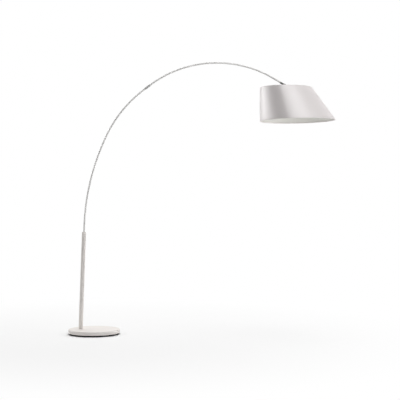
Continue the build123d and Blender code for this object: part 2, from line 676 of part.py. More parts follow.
def holder_cap():
    """Cap of the lamp holder with a boss for the stem."""
    outer = HOLDER_DIAMETER / 2
    inner = outer - HOLDER_CAP_WALL
    boss = HOLDER_BOSS_DIAMETER / 2
    bore = STEM_DIAMETER / 2 + SEAT_FIT
    ceiling = HOLDER_TOP + 2 * HOLDER_CAP_WALL
    cap = turned(
        (bore, HOLDER_TOP),
        (outer - HOLDER_SHOULDER, HOLDER_TOP),
        (outer, HOLDER_TOP + HOLDER_SHOULDER),
        (outer, HOLDER_JOINT),
        (inner, HOLDER_JOINT),
        (inner, ceiling + HOLDER_SHOULDER),
        (boss, ceiling),
        (boss, STEM_END),
        (bore, STEM_END),
    )
    return HOLDER_FRAME * cap


def holder_core():
    """Ceramic core that carries the contacts."""
    core = rod(CORE_DIAMETER, CORE_TOP, CORE_BOTTOM)
    core += rod(CORE_FLANGE_DIAMETER, HOLDER_JOINT, HOLDER_JOINT + CORE_FLANGE)
    return HOLDER_FRAME * core


def terminal_screws():
    """Two screws that clamp the lead's cores."""
    head = rod(TERMINAL_SCREW_DIAMETER, CORE_TOP - TERMINAL_SCREW_HEIGHT, CORE_TOP)
    return Compound([HOLDER_FRAME * (Pos(0, side * TERMINAL_SCREW_PLACE, 0) * head) for side in (-1, 1)])


def holder_skirt():
    """Lower half of the lamp holder with the flange the shade hangs under."""
    skirt = rod(SKIRT_DIAMETER, HOLDER_JOINT, HOLDER_JOINT + SKIRT_LENGTH)
    skirt += rod(SKIRT_FLANGE_DIAMETER, HOLDER_JOINT, SKIRT_SEAT)
    skirt -= rod(SKIRT_BORE, HOLDER_JOINT, HOLDER_JOINT + SKIRT_LENGTH)
    skirt -= rod(CORE_FLANGE_DIAMETER + 2 * SEAT_FIT, HOLDER_JOINT, HOLDER_JOINT + CORE_FLANGE)
    return HOLDER_FRAME * skirt


def contact_shell():
    """Screw shell that takes the bulb's cap."""
    outer = SHELL_BORE + 2 * SHELL_WALL
    shell = rod(outer, CORE_BOTTOM, CORE_BOTTOM + SHELL_LENGTH)
    shell -= rod(SHELL_BORE, CORE_BOTTOM + SHELL_WALL, CORE_BOTTOM + SHELL_LENGTH)
    return HOLDER_FRAME * (shell - rod(2 * CONTACT_DIAMETER, CORE_BOTTOM, CORE_BOTTOM + SHELL_LENGTH))


def contact_centre():
    """Middle contact under the core."""
    return HOLDER_FRAME * rod(CONTACT_DIAMETER, CORE_BOTTOM, BULB_PIP_TOP)


def shade_ring():
    """Gripped ring nut that holds the shade's hub under the flange."""
    ring = pipe(RING_DIAMETER, SKIRT_DIAMETER + 2 * SEAT_FIT, RING_TOP, RING_TOP + RING_HEIGHT)
    notch = rod(2 * RING_GRIP_RADIUS, RING_TOP, RING_TOP + RING_HEIGHT)
    notch_circle = RING_DIAMETER / 2 + RING_GRIP_RADIUS / 2
    ring -= [place * notch for place in PolarLocations(notch_circle, RING_GRIP_COUNT)]
    return HOLDER_FRAME * ring


def bulb_cap():
    """Metal screw cap of the bulb."""
    return HOLDER_FRAME * rod(BULB_CAP_DIAMETER, BULB_CAP_TOP, BULB_NECK_TOP)


def bulb_insulator():
    """Dark cone of the bulb's cap with the contact pip."""
    pip_end = BULB_PIP_TOP + BULB_PIP_HEIGHT
    cone = Cone(BULB_PIP_DIAMETER / 2, BULB_CAP_DIAMETER / 2, BULB_INSULATOR_HEIGHT, align=BELOW)
    return HOLDER_FRAME * (Pos(0, 0, pip_end) * cone + rod(BULB_PIP_DIAMETER, BULB_PIP_TOP, pip_end))


def bulb_form(inset):
    """Closed glass form: a neck that widens into a ball."""
    ball_radius = BULB_DIAMETER / 2 - inset
    neck_radius = BULB_CAP_DIAMETER / 2 - inset
    centre = BULB_NECK_TOP + BULB_NECK_LENGTH
    join_angle = math.radians(BULB_JOIN_ANGLE)
    join = (ball_radius * math.cos(join_angle), 0, centre - ball_radius * math.sin(join_angle))
    end = (0, 0, centre + ball_radius)
    neck = (neck_radius, 0, BULB_NECK_TOP)
    flank = Spline(neck, join, tangents=((0, 0, 1), (math.sin(join_angle), 0, math.cos(join_angle))))
    ball = ThreePointArc(join, (ball_radius, 0, centre), end)
    closing = Polyline(end, (0, 0, BULB_NECK_TOP), neck)
    return revolve(make_face(flank.edges() + ball.edges() + closing.edges()), Axis.Z)


def bulb_globe():
    """Frosted glass of the bulb, open at the neck where the cap closes it."""
    return HOLDER_FRAME * (bulb_form(0) - bulb_form(BULB_GLASS))


def head_lead():
    """Inner lead from the swivel down to the holder's core."""
    return HOLDER_FRAME * rod(LEAD_DIAMETER, LEAD_JOINT_GAP, CORE_TOP)


# Shade pieces

def shade_section(fraction):
    """Frame and outer radius of the shade's round section between its rims.

    The rims are circles of different size, out of line with one another and slightly
    out of parallel; a section at a fraction of the way down is again a circle.
    """
    top_radius = SHADE_TOP_DIAMETER / 2
    bottom_radius = SHADE_BOTTOM_DIAMETER / 2
    tilt = math.radians(SHADE_BOTTOM_TILT)
    radius = (1 - fraction) * top_radius + fraction * bottom_radius
    rise = fraction * bottom_radius * math.sin(tilt)
    run = (1 - fraction) * top_radius + fraction * bottom_radius * math.cos(tilt)
    angle = math.atan2(rise, run)
    centre = PIVOT_POINT + Vector(SHADE_SHIFT * fraction, 0, -SHADE_RIM_DROP - SHADE_HEIGHT * fraction)
    frame = Plane(
        origin=centre,
        x_dir=(math.cos(angle), 0, math.sin(angle)),
        z_dir=(-math.sin(angle), 0, math.cos(angle)),
    )
    return frame, radius


def shade_form(inset):
    """Closed oblique form of the shade, drawn in by an inset."""
    rims = []
    for fraction in (0.0, 1.0):
        frame, radius = shade_section(fraction)
        rims.append(frame * Circle(radius - inset))
    return loft(rims, ruled=True)


def shade_skin():
    """Stiff white skin of the shade, open at both rims."""
    return shade_form(0) - shade_form(SHADE_WALL)


def wire_ring(fraction):
    """Wire ring seated on the skin's inner side at a fraction of the way down, and its radius."""
    frame, radius = shade_section(fraction)
    wire = WIRE_DIAMETER / 2 + SEAT_FIT
    steep_slope = math.atan2(2 * SHADE_SHIFT, SHADE_HEIGHT)
    steep_gap = wire / math.cos(steep_slope)
    seat_radius = radius - SHADE_WALL - (wire + steep_gap) / 2
    ring = frame * (Pos((wire - steep_gap) / 2, 0, 0) * Torus(seat_radius, WIRE_DIAMETER / 2))
    return ring, seat_radius


RIM_FRACTION = WIRE_INSET / SHADE_HEIGHT


def shade_top_ring():
    """Wire ring that stiffens the upper rim and carries the spokes."""
    return wire_ring(RIM_FRACTION)[0]


def shade_hub():
    """Flat ring that sits between the holder's flange and the ring nut."""
    hole = SKIRT_DIAMETER + 2 * RUNNING_FIT
    return HOLDER_FRAME * pipe(HUB_DIAMETER, hole, HUB_TOP, HUB_TOP + HUB_THICKNESS)


def shade_spokes():
    """Wire spokes that fall from the upper ring to the hub, welded at both ends."""
    ring, ring_radius = wire_ring(RIM_FRACTION)
    ring_place = ring.center()
    weld_level = PIVOT_POINT.Z - HUB_TOP + WIRE_DIAMETER / 2 - SPOKE_WELD_SINK
    weld_reach = HUB_DIAMETER / 2 - SPOKE_WELD_REACH
    spokes = []
    for number in range(SPOKE_COUNT):
        angle = math.pi + number * 2 * math.pi / SPOKE_COUNT
        way = Vector(math.cos(angle), math.sin(angle), 0)
        inner = Vector(PIVOT_POINT.X, 0, weld_level) + way * weld_reach
        outer = Vector(ring_place.X, 0, ring_place.Z) + way * ring_radius
        spoke = round_along([straight_edge(inner, outer)], WIRE_DIAMETER) - ring - shade_hub()
        spokes.append(spoke.solids().sort_by(SortBy.VOLUME)[-1])
    return Compound(spokes)


def shade_bottom_ring():
    """Wire ring that stiffens the lower rim."""
    return wire_ring(1.0 - RIM_FRACTION)[0]


SUB_PARTS = (
    base_pad,
    base_weight,
    base_cover,
    cord_gland,
    terminal_block,
    base_lead,
    pole_foot,
    foot_washer,
    foot_nut,
    pole_tube,
    pole_cap,
    arm_bush,
    friction_screw,
    foot_bush,
    stop_screw,
    arm_foot,
    arm_lower_tube,
    arm_spigot,
    arm_sleeve,
    sleeve_screws,
    arm_upper_tube,
    arm_lead,
    swivel_fork,
    fork_screw,
    pivot_screws,
    friction_washers,
    swivel_tongue,
    stem_locknut,
    holder_cap,
    holder_core,
    terminal_screws,
    holder_skirt,
    contact_shell,
    contact_centre,
    shade_ring,
    bulb_cap,
    bulb_insulator,
    bulb_globe,
    head_lead,
    shade_top_ring,
    shade_hub,
    shade_spokes,
    shade_bottom_ring,
    shade_skin,
)


def main():
    """Build every sub-part and write each to its own file."""
    os.makedirs("parts", exist_ok=True)
    for build in SUB_PARTS:
        export_step(build(), f"parts/{build.__name__}.step")


if __name__ == "__main__":
    main()
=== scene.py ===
"""Arc floor lamp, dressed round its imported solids.

Metres. The origin lies on the floor under the middle of the base, +X runs from the pole to the
shade, +Y to the back and +Z up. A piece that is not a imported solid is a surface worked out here
from its formula, and every piece and solid gets a finish made of nodes.
"""
import json
import logging
import math
from dataclasses import dataclass, field
from enum import Enum
from typing import Any, Callable, Mapping, Sequence

import bpy
import numpy as np
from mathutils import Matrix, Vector
from numpy.typing import NDArray


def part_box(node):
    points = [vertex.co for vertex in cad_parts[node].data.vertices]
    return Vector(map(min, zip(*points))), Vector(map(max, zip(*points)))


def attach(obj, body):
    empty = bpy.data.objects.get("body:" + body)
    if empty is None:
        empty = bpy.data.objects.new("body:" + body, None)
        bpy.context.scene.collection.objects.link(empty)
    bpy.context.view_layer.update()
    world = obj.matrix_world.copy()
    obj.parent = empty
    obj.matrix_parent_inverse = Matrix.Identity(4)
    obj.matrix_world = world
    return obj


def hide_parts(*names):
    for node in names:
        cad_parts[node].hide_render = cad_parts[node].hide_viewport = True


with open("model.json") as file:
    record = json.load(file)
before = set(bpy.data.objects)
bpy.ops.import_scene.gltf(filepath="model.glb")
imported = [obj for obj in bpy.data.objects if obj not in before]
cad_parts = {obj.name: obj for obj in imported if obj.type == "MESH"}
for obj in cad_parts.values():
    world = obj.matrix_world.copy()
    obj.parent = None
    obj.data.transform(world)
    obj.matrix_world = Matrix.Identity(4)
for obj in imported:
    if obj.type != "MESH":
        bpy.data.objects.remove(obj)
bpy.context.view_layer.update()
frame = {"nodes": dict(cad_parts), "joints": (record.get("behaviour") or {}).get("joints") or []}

LOG = logging.getLogger("arc_floor_lamp")

Floats = NDArray[np.float64]
Integers = NDArray[np.int64]
Colour = tuple[float, float, float]
Point = tuple[float, float, float]
Range = tuple[float, float]
Relief = Callable[[Floats, Floats, Floats], Floats]
Piece = bpy.types.Object
Socket = bpy.types.NodeSocket

MM = 0.001
FULL_TURN = 2 * math.pi
WHITE = (1.0, 1.0, 1.0, 1.0)

# Directions of growing height and of angle zero for an upright axis.
UPRIGHT = ((0, 0, 1), (1, 0, 0))
# An edge that turns by this angle or more is shaded sharp.
SHARP_EDGE = math.radians(40)
# The wave texture's own wave, in radians to the metre.
WAVE_RADIANS = 20.0
# How strong each finer layer of a noise is, next to the one before.
FINE_SHARE = 0.55
# Where the values of a noise mostly lie.
NOISE_RANGE = (0.25, 0.75)
# Angles that differ by less, in radians, are one.
SAME_ANGLE = 1e-6


class Body(Enum):
    """The rigid groups that move on the lamp's joints."""

    STAND = "stand"
    ARM = "arm"
    HEAD = "head"
    SHADE = "shade"


class Slot(Enum):
    """The record's material slots that go with the new pieces, passed along but not read."""

    LAMINATE = "shade_laminate"
    WIRE = "white_wire"
    RUBBER = "black_rubber"
    DARK_METAL = "dark_metal"
    MOULDING = "black_holder"
    BULB_METAL = "bulb_metal"


class Space(Enum):
    """Where a pattern takes its coordinates from."""

    OBJECT = "Object"
    SURFACE = "UV"


class Effect(Enum):
    """Which part of a surface's light a lamp gives."""

    DIFFUSE = "only the soft shading"
    GLOSS = "only the reflection of the lamp itself"


@dataclass(frozen=True)
class Noise:
    """A soft noise pattern.

    Attributes:
        size: Size of its features.
        detail: Finer layers in it.
        stretch: Scale along the three axes.
        space: Where its coordinates come from.
    """

    size: float
    detail: float = 2.0
    stretch: Point = (1.0, 1.0, 1.0)
    space: Space = Space.OBJECT


class Grain(Enum):
    """How a bare metal's surface is broken up: zinc's crystal cells, drawn lines or clouds."""

    SPANGLE = Noise(3.5 * MM)
    DRAWN = Noise(0.5 * MM, 3.0, (0.05, 1.0, 1.0))
    CLOUDED = Noise(6 * MM, 5.0)


# Shapes


@dataclass(frozen=True)
class Axis:
    """A straight axis with an angle of zero.

    Attributes:
        origin: Point that heights are measured from.
        along: Unit direction of growing height.
        across: Unit direction of angle zero, square to the axis.
    """

    origin: Point
    along: Point
    across: Point

    def place(self, radius: Floats, angle: Floats, height: Floats) -> Floats:
        """Points at a radius, angle and height about the axis.

        A point is the origin, plus the height along the axis, plus the radius times the angle's
        cosine across and sine aside.

        Args:
            radius: Distances from the axis.
            angle: Angles round the axis, in radians.
            height: Heights along the axis.

        Returns:
            Points with a last dimension of three.
        """
        along = np.array(self.along)
        across = np.array(self.across)
        aside = np.cross(along, across)
        radius, angle, height = np.broadcast_arrays(radius, angle, height)
        round_it = np.cos(angle)[..., None] * across + np.sin(angle)[..., None] * aside
        return np.array(self.origin) + height[..., None] * along + radius[..., None] * round_it


@dataclass
class Surface:
    """One closed skin of points and faces.

    Attributes:
        points: Corner points, one row each.
        quads: Four-cornered faces.
        triangles: Three-cornered faces, used round a pole.
        uv: Flat coordinates of each quad's corners, in metres, or none.
        parts: Number of the finish on each quad, or none.
    """

    points: Floats
    quads: Integers
    triangles: Integers = field(default_factory=lambda: np.zeros((0, 3), np.int64))
    uv: Floats | None = None
    parts: Integers | None = None

    def volume(self) -> float:
        """Volume in the skin: the sum of the tetrahedra from the origin to each triangle.

        Returns:
            The volume, below zero where the faces look inwards.
        """
        halves = [self.quads[:, [0, 1, 2]], self.quads[:, [0, 2, 3]], self.triangles]
        corners = self.points[np.concatenate(halves)]
        return float(np.einsum("ij,ij->", corners[:, 0], np.cross(corners[:, 1], corners[:, 2])) / 6)

    def outward(self) -> "Surface":
        """The same skin with its faces turned outwards.

        Returns:
            The skin itself or a turned copy.
        """
        if self.volume() >= 0:
            return self
        uv = None if self.uv is None else self.uv[:, ::-1]
        return Surface(self.points, self.quads[:, ::-1], self.triangles[:, ::-1], uv, self.parts)

    def repeated(self, places: Floats) -> "Surface":
        """Copies of the skin, moved to each of some places.

        Args:
            places: One shift in each row.

        Returns:
            All the copies as one surface.
        """
        shift = np.arange(len(places))[:, None, None] * len(self.points)
        points = (places[:, None] + self.points[None]).reshape(-1, 3)
        quads = (self.quads[None] + shift).reshape(-1, 4)
        triangles = (self.triangles[None] + shift).reshape(-1, 3)
        return Surface(points, quads, triangles)


def grid_quads(rows: int, columns: int, close_rows: bool, close_columns: bool) -> Integers:
    """Faces of a grid of points that are numbered row by row.

    Args:
        rows: Rows of points.
        columns: Points in a row.
        close_rows: Whether the last row joins the first.
        close_columns: Whether the last column joins the first.

    Returns:
        Four point numbers for each face.
    """
    row = np.arange(rows if close_rows else rows - 1)
    column = np.arange(columns if close_columns else columns - 1)
    r, c = np.meshgrid(row, column, indexing="ij")
    r_next = (r + 1) % rows
    c_next = (c + 1) % columns
    corners = [r * columns + c, r * columns + c_next, r_next * columns + c_next, r_next * columns + c]
    return np.stack(corners, axis=-1).reshape(-1, 4)


def grid_uv(u: Floats, v: Floats) -> Floats:
    """Flat coordinates of each face's corners on a grid that runs one step past its seam.

    Args:
        u: Coordinates along the columns, one more row and column than the closed grid has.
        v: Coordinates along the rows, of the same shape.

    Returns:
        Four coordinate pairs for each face, in the order of grid_quads.
    """
    pair = np.stack([u, v], axis=-1)
    corners = [pair[:-1, :-1], pair[:-1, 1:], pair[1:, 1:], pair[1:, :-1]]
    return np.stack(corners, axis=2).reshape(-1, 4, 2)


def rounded(corners: Sequence[tuple[float, float, float]], closed: bool, steps: int = 6) -> Floats:
    """Outline through corners, each turned on a radius of its own.

    The two sides of a corner are trimmed by the radius over the tangent of half the angle
    between them, and the arc that touches both joins them. A radius of zero leaves it sharp.

    Args:
        corners: Radius from the axis, height and turning radius of each corner.
        closed: Whether the last corner joins the first.
        steps: Steps in each arc.

    Returns:
        Rows of radius and height.
    """
    points = np.array([corner[:2] for corner in corners], float)
    count = len(points)
    outline = []
    for number, (_, _, radius) in enumerate(corners):
        corner = points[number]
        if radius == 0 or (not closed and number in (0, count - 1)):
            outline.append(corner[None])
            continue
        before = points[number - 1] - corner
        after = points[(number + 1) % count] - corner
        before /= np.linalg.norm(before)
        after /= np.linalg.norm(after)
        half = 0.5 * math.acos(float(np.clip(before @ after, -1, 1)))
        middle = before + after
        centre = corner + middle / np.linalg.norm(middle) * radius / math.sin(half)
        start = corner + before * radius / math.tan(half) - centre
        end = corner + after * radius / math.tan(half) - centre
        first = math.atan2(start[1], start[0])
        turn = (math.atan2(end[1], end[0]) - first + math.pi) % FULL_TURN - math.pi
        angle = first + turn * np.linspace(0, 1, steps + 1)
        outline.append(centre + radius * np.stack([np.cos(angle), np.sin(angle)], axis=1))
    return np.concatenate(outline)


def densified(outline: Floats, step: float, closed: bool) -> Floats:
    """The same outline with more points on its long straights.

    Args:
        outline: Rows of radius and height.
        step: Longest distance between two points.
        closed: Whether the last point joins the first.

    Returns:
        Rows of radius and height, the given corners among them.
    """
    line = np.concatenate([outline, outline[:1]]) if closed else outline
    run = np.concatenate([[0.0], np.cumsum(np.linalg.norm(np.diff(line, axis=0), axis=1))])
    stops = np.union1d(run, np.linspace(0, run[-1], 1 + math.ceil(run[-1] / step)))
    stops = stops[np.concatenate([[True], np.diff(stops) > step / 20])]
    dense = np.stack([np.interp(stops, run, line[:, 0]), np.interp(stops, run, line[:, 1])], axis=1)
    return dense[:-1] if closed else dense


def lathe(profile: Floats, axis: Axis, segments: int, relief: Relief | None = None) -> Surface:
    """A profile turned about an axis.

    Each point of the profile goes round the circle of its radius, to which a relief may add a
    function of radius, angle and height. A profile with both ends on the axis is closed there
    by one point each, and any other is taken as a closed ring.

    Args:
        profile: Rows of radius and height.
        axis: Axis of the turning.
        segments: Points round the circle.
        relief: Function that gives what is added to the radius.

    Returns:
        The closed surface.
    """
    solid = profile[0, 0] == 0 and profile[-1, 0] == 0
    rings = profile[1:-1] if solid else profile
    angle = np.arange(segments) * FULL_TURN / segments
    radius, turn = np.meshgrid(rings[:, 0], angle, indexing="ij")
    height = np.broadcast_to(rings[:, 1:], radius.shape)
    if relief is not None:
        radius = radius + relief(radius, turn, height)
    points = axis.place(radius, turn, height).reshape(-1, 3)
    quads = grid_quads(len(rings), segments, not solid, True)
    if not solid:
        return Surface(points, quads).outward()
    poles = axis.place(profile[[0, -1], 0], np.zeros(2), profile[[0, -1], 1])
    here = np.arange(segments)
    there = (here + 1) % segments
    first_pole = np.full(segments, len(points))
    last_row = len(points) - segments
    first_fan = np.stack([first_pole, there, here], axis=1)
    last_fan = np.stack([first_pole + 1, last_row + here, last_row + there], axis=1)
    return Surface(np.concatenate([points, poles]), quads, np.concatenate([first_fan, last_fan])).outward()


def window(value: Floats, low: float, high: float, fade: float) -> Floats:
    """One between two limits and zero outside, with a smooth step at each.

    A step is three times the square less twice the cube of the way through it.

    Args:
        value: Values to weigh.
        low: Lower limit.
        high: Upper limit.
        fade: Width of the step.

    Returns:
        A weight for each value.
    """
    rise = np.clip((value - low) / fade + 0.5, 0, 1)
    fall = np.clip((high - value) / fade + 0.5, 0, 1)
    return rise * rise * (3 - 2 * rise) * fall * fall * (3 - 2 * fall)


def helical_thread(depth: float, pitch: float, low: float, high: float, least_radius: float) -> Relief:
    """Relief of a rolled screw thread on an outer wall.

    The radius falls by the depth times half of one minus the cosine of the phase, which grows
    by one turn for each pitch of height and for each turn of angle.

    Args:
        depth: Depth of the thread.
        pitch: Height of one turn.
        low: Height where the thread starts.
        high: Height where it runs out.
        least_radius: Points nearer to the axis keep their radius.

    Returns:
        The relief as a function of radius, angle and height.
    """

    def relief(radius: Floats, angle: Floats, height: Floats) -> Floats:
        """What the thread adds to the radius."""
        groove = 0.5 - 0.5 * np.cos(FULL_TURN * height / pitch - angle)
        return -depth * groove * window(height, low, high, pitch) * (radius > least_radius)

    return relief


def flutes(
    depth: float, count: int, low: float, high: float, least_radius: float, fade: float = 2 * MM
) -> Relief:
    """Relief of upright grip flutes on an outer wall.

    The radius falls by the depth times the square of half of one plus the cosine of the angle
    times the count.

    Args:
        depth: Depth of a flute.
        count: Flutes round the wall.
        low: Height where they start.
        high: Height where they end.
        least_radius: Points nearer to the axis keep their radius.
        fade: Height over which a flute runs out.

    Returns:
        The relief as a function of radius, angle and height.
    """

    def relief(radius: Floats, angle: Floats, height: Floats) -> Floats:
        """What the flutes add to the radius."""
        hollow = (0.5 + 0.5 * np.cos(count * angle)) ** 2
        return -depth * hollow * window(height, low, high, fade) * (radius > least_radius)

    return relief


# Finishes


class NodeBench:
    """Wires the nodes of a material or of the sky.

    Attributes:
        owner: The material or the world.
        tree: Its node tree.
        shader: Its main shader.
    """

    def __init__(self, owner: bpy.types.ID, shader: str = "Principled BSDF") -> None:
        """Open the node tree.

        Args:
            owner: The material or the world.
            shader: Name of its main shader.
        """
        owner.use_nodes = True
        self.owner = owner
        self.tree = owner.node_tree
        self.shader = self.tree.nodes[shader]

    def add(self, kind: str, inputs: Mapping[Any, Any], **settings: Any) -> bpy.types.Node:
        """Add a node and fill its inputs.

        Args:
            kind: Type of the node.
            inputs: A number, a colour or another node's output for each input.
            **settings: Options of the node itself.

        Returns:
            The node.
        """
        node = self.tree.nodes.new(kind)
        for key, value in settings.items():
            setattr(node, key, value)
        for key, value in inputs.items():
            if isinstance(value, Socket):
                self.tree.links.new(value, node.inputs[key])
            else:
                node.inputs[key].default_value = value
        return node

    def constants(self, values: Mapping[str, Any]) -> None:
        """Set values that are the same all over on the main shader's own sockets."""
        for key, value in values.items():
            self.shader.inputs[key].default_value = value

    def feed(self, key: str, value: Socket) -> None:
        """Let one of the main shader's inputs follow a value."""
        self.tree.links.new(value, self.shader.inputs[key])

    def place(self, space: Space, stretch: Point = (1.0, 1.0, 1.0)) -> Socket:
        """Coordinates of a pattern, in metres, stretched along the three axes."""
        source = self.add("ShaderNodeTexCoord", {}).outputs[space.value]
        return self.add("ShaderNodeMapping", {"Vector": source, "Scale": stretch}).outputs[0]

    def noise(self, noise: Noise) -> Socket:
        """Values of a soft noise, around one half.

        Args:
            noise: The pattern.

        Returns:
            The value's socket.
        """
        place = self.place(noise.space, noise.stretch)
        inputs = {"Vector": place, "Scale": 1 / noise.size, "Detail": noise.detail, "Roughness": FINE_SHARE}
        return self.add("ShaderNodeTexNoise", inputs).outputs[0]

    def cells(self, size: float) -> Socket:
        """One random grey for each cell of about a given size, in metres."""
        inputs = {"Vector": self.place(Space.OBJECT), "Scale": 1 / size}
        return self.add("ShaderNodeTexVoronoi", inputs).outputs["Color"]

    def threads(self, pitch: float, direction: str) -> Socket:
        """Even waves of a given pitch, in metres, across one direction of the surface."""
        inputs = {"Vector": self.place(Space.SURFACE), "Scale": FULL_TURN / (WAVE_RADIANS * pitch)}
        return self.add("ShaderNodeTexWave", inputs, bands_direction=direction).outputs["Fac"]

    def spread(self, value: Socket, low: float, high: float) -> Socket:
        """A value around one half carried over to a range."""
        limits = {"From Min": NOISE_RANGE[0], "From Max": NOISE_RANGE[1], "To Min": low, "To Max": high}
        return self.add("ShaderNodeMapRange", {"Value": value, **limits}).outputs[0]

    def maths(self, operation: str, first: Any, second: Any) -> Socket:
        """Two values joined by an operation."""
        return self.add("ShaderNodeMath", {0: first, 1: second}, operation=operation).outputs[0]

    def colour_between(self, value: Socket, low: Colour, high: Colour) -> None:
        """Let the base colour go from one colour to another with a value around one half."""
        inputs = {0: self.spread(value, 0.0, 1.0), 6: (*low, 1), 7: (*high, 1)}
        self.feed("Base Color", self.add("ShaderNodeMix", inputs, data_type="RGBA").outputs[2])

    def relief(self, height: Socket, depth: float, strength: float) -> None:
        """Raise the surface's fine relief by a height pattern of a given depth, in metres."""
        inputs = {"Height": height, "Distance": depth, "Strength": strength}
        self.feed("Normal", self.add("ShaderNodeBump", inputs).outputs[0])

    def seen_directly(self) -> Socket:
        """One for rays from the camera, from a mirror or through glass, and zero for others.

        Returns:
            The value's socket.
        """
        rays = self.add("ShaderNodeLightPath", {}).outputs
        value = rays["Is Camera Ray"]
        for kind in ("Is Glossy Ray", "Is Transmission Ray"):
            value = self.maths("MAXIMUM", value, rays[kind])
        return value


def dimmed(colour: Colour, share: float) -> Colour:
    """A colour times a share."""
    return tuple(share * part for part in colour)


@dataclass(frozen=True)
class Finish:
    """A material whose colour and roughness follow a pattern, with a fine relief on it.

    Attributes:
        name: Name of the material.
        colour: Its lightest colour, linear.
        roughness: Its mean roughness.
        dull: Share of the colour left in the darkest places.
        swing: What the pattern adds to the roughness in the darkest and in the lightest places.
        cloud: Pattern of the colour and the roughness.
        haze: Pattern of the roughness, if it has its own.
        bumps: Pattern of the relief.
        depth: Depth of the relief.
        strength: How much of the relief shows.
        metallic: Share of bare metal.
        shine: Level of the reflection, one half for a usual gloss.
        glow: Share of light that goes into the body and comes out near by.
        reach: Distance that this light travels.
        coat: Weight of a clear coat.
        coat_roughness: Roughness of that coat.
    """

    name: str
    colour: Colour
    roughness: float
    dull: float = 0.96
    swing: Range = (-0.04, 0.04)
    cloud: Noise = Noise(16 * MM, 3.0)
    haze: Noise | None = None
    bumps: Noise = Noise(5 * MM, 1.0)
    depth: float = 0.03 * MM
    strength: float = 0.3
    metallic: float = 0.0
    shine: float = 0.5
    glow: float = 0.0
    reach: float = 2 * MM
    coat: float = 0.0
    coat_roughness: float = 0.1

    def material(self) -> bpy.types.Material:
        """Find the finish's material, or make it on first use.

        Returns:
            The material.
        """
        found = bpy.data.materials.get(self.name)
        if found is None:
            found = bpy.data.materials.new(self.name)
            self.wire(NodeBench(found))
        return found

    def pattern(self, bench: NodeBench) -> Socket:
        """Values around one half that the colour follows."""
        return bench.noise(self.cloud)

    def height(self, bench: NodeBench, pattern: Socket) -> Socket:
        """Heights of the relief, which may follow the colour's pattern."""
        return bench.noise(self.bumps)

    def wire(self, bench: NodeBench) -> None:
        """Wire colour, roughness and relief, and set what is the same all over.

        Args:
            bench: Bench of the finish's material.
        """
        pattern = self.pattern(bench)
        bench.colour_between(pattern, dimmed(self.colour, self.dull), self.colour)
        gloss = bench.noise(self.haze) if self.haze else pattern
        bench.feed("Roughness", bench.spread(gloss, *(self.roughness + change for change in self.swing)))
        bench.relief(self.height(bench, pattern), self.depth, self.strength)
        bench.constants({
            "Metallic": self.metallic,
            "Specular IOR Level": self.shine,
            "Subsurface Weight": self.glow,
            "Subsurface Scale": self.reach,
            "Subsurface Radius": (1.0, 1.0, 1.0),
            "Coat Weight": self.coat,
            "Coat Roughness": self.coat_roughness,
        })


@dataclass(frozen=True)
class PowderCoat(Finish):
    """Baked powder paint: even colour, a faint cloud in it and a fine orange-peel relief."""

    dull: float = 0.97
    cloud: Noise = Noise(90 * MM)
    haze: Noise | None = Noise(14 * MM, 3.0)
    bumps: Noise = Noise(2.2 * MM, 1.0)
    depth: float = 0.05 * MM
    strength: float = 0.15


@dataclass(frozen=True)
class Laminate(Finish):
    """Cloth bonded under a satin film: fine crossing threads that show through the film.

    Attributes:
        upright_slubs: Thick places in the upright threads, as the cloud is in the long ones.
        thread_pitch: Distance from thread to thread.
    """

    dull: float = 0.965
    swing: Range = (-0.03, 0.03)
    cloud: Noise = Noise(1.6 * MM, 3.0, (0.04, 1.0, 1.0), Space.SURFACE)
    upright_slubs: Noise = Noise(1.6 * MM, 3.0, (1.0, 0.04, 1.0), Space.SURFACE)
    strength: float = 0.25
    thread_pitch: float = 0.8 * MM

    def pattern(self, bench: NodeBench) -> Socket:
        """The mean of the slubs in both threads."""
        both = bench.maths("ADD", bench.noise(self.cloud), bench.noise(self.upright_slubs))
        return bench.maths("MULTIPLY", both, 0.5)

    def height(self, bench: NodeBench, pattern: Socket) -> Socket:
        """The higher of the two crossing threads, with the slubs on it."""
        weft, warp = (bench.threads(self.thread_pitch, direction) for direction in "XY")
        return bench.maths("ADD", bench.maths("MAXIMUM", weft, warp), pattern)


@dataclass(frozen=True)
class Film(Finish):
    """Plain backing film on the shade's inner side, with faint rolling marks."""

    swing: Range = (-0.05, 0.05)
    cloud: Noise = Noise(9 * MM, 4.0, (1.0, 0.06, 1.0), Space.SURFACE)
    bumps: Noise = Noise(1.2 * MM, space=Space.SURFACE)


@dataclass(frozen=True)
class Rubber(Finish):
    """Moulded rubber: near black, a dull bloom on it and a pebbled relief."""

    dull: float = 0.5
    swing: Range = (-0.06, 0.06)
    cloud: Noise = Noise(22 * MM, 5.0)
    bumps: Noise = Noise(0.9 * MM)
    depth: float = 0.08 * MM
    strength: float = 0.5
    shine: float = 0.08


@dataclass(frozen=True)
class Metal(Finish):
    """Bare or coated metal.

    Attributes:
        grain: How its surface is broken up.
    """

    swing: Range = (-0.06, 0.08)
    bumps: Noise = Noise(0.7 * MM)
    depth: float = 0.02 * MM
    metallic: float = 1.0
    grain: Grain = Grain.CLOUDED

    def pattern(self, bench: NodeBench) -> Socket:
        """Cells for a spangle, and noise for any other grain."""
        grain = self.grain.value
        return bench.cells(grain.size) if self.grain is Grain.SPANGLE else bench.noise(grain)


@dataclass(frozen=True)
class CastIron(Finish):
    """Rough sand casting under a thin grey primer, with stains in it."""

    dull: float = 0.6
    swing: Range = (-0.08, 0.08)
    cloud: Noise = Noise(30 * MM, 6.0)
    bumps: Noise = Noise(1.6 * MM, 4.0)
    depth: float = 0.35 * MM
    strength: float = 0.6
    metallic: float = 0.4


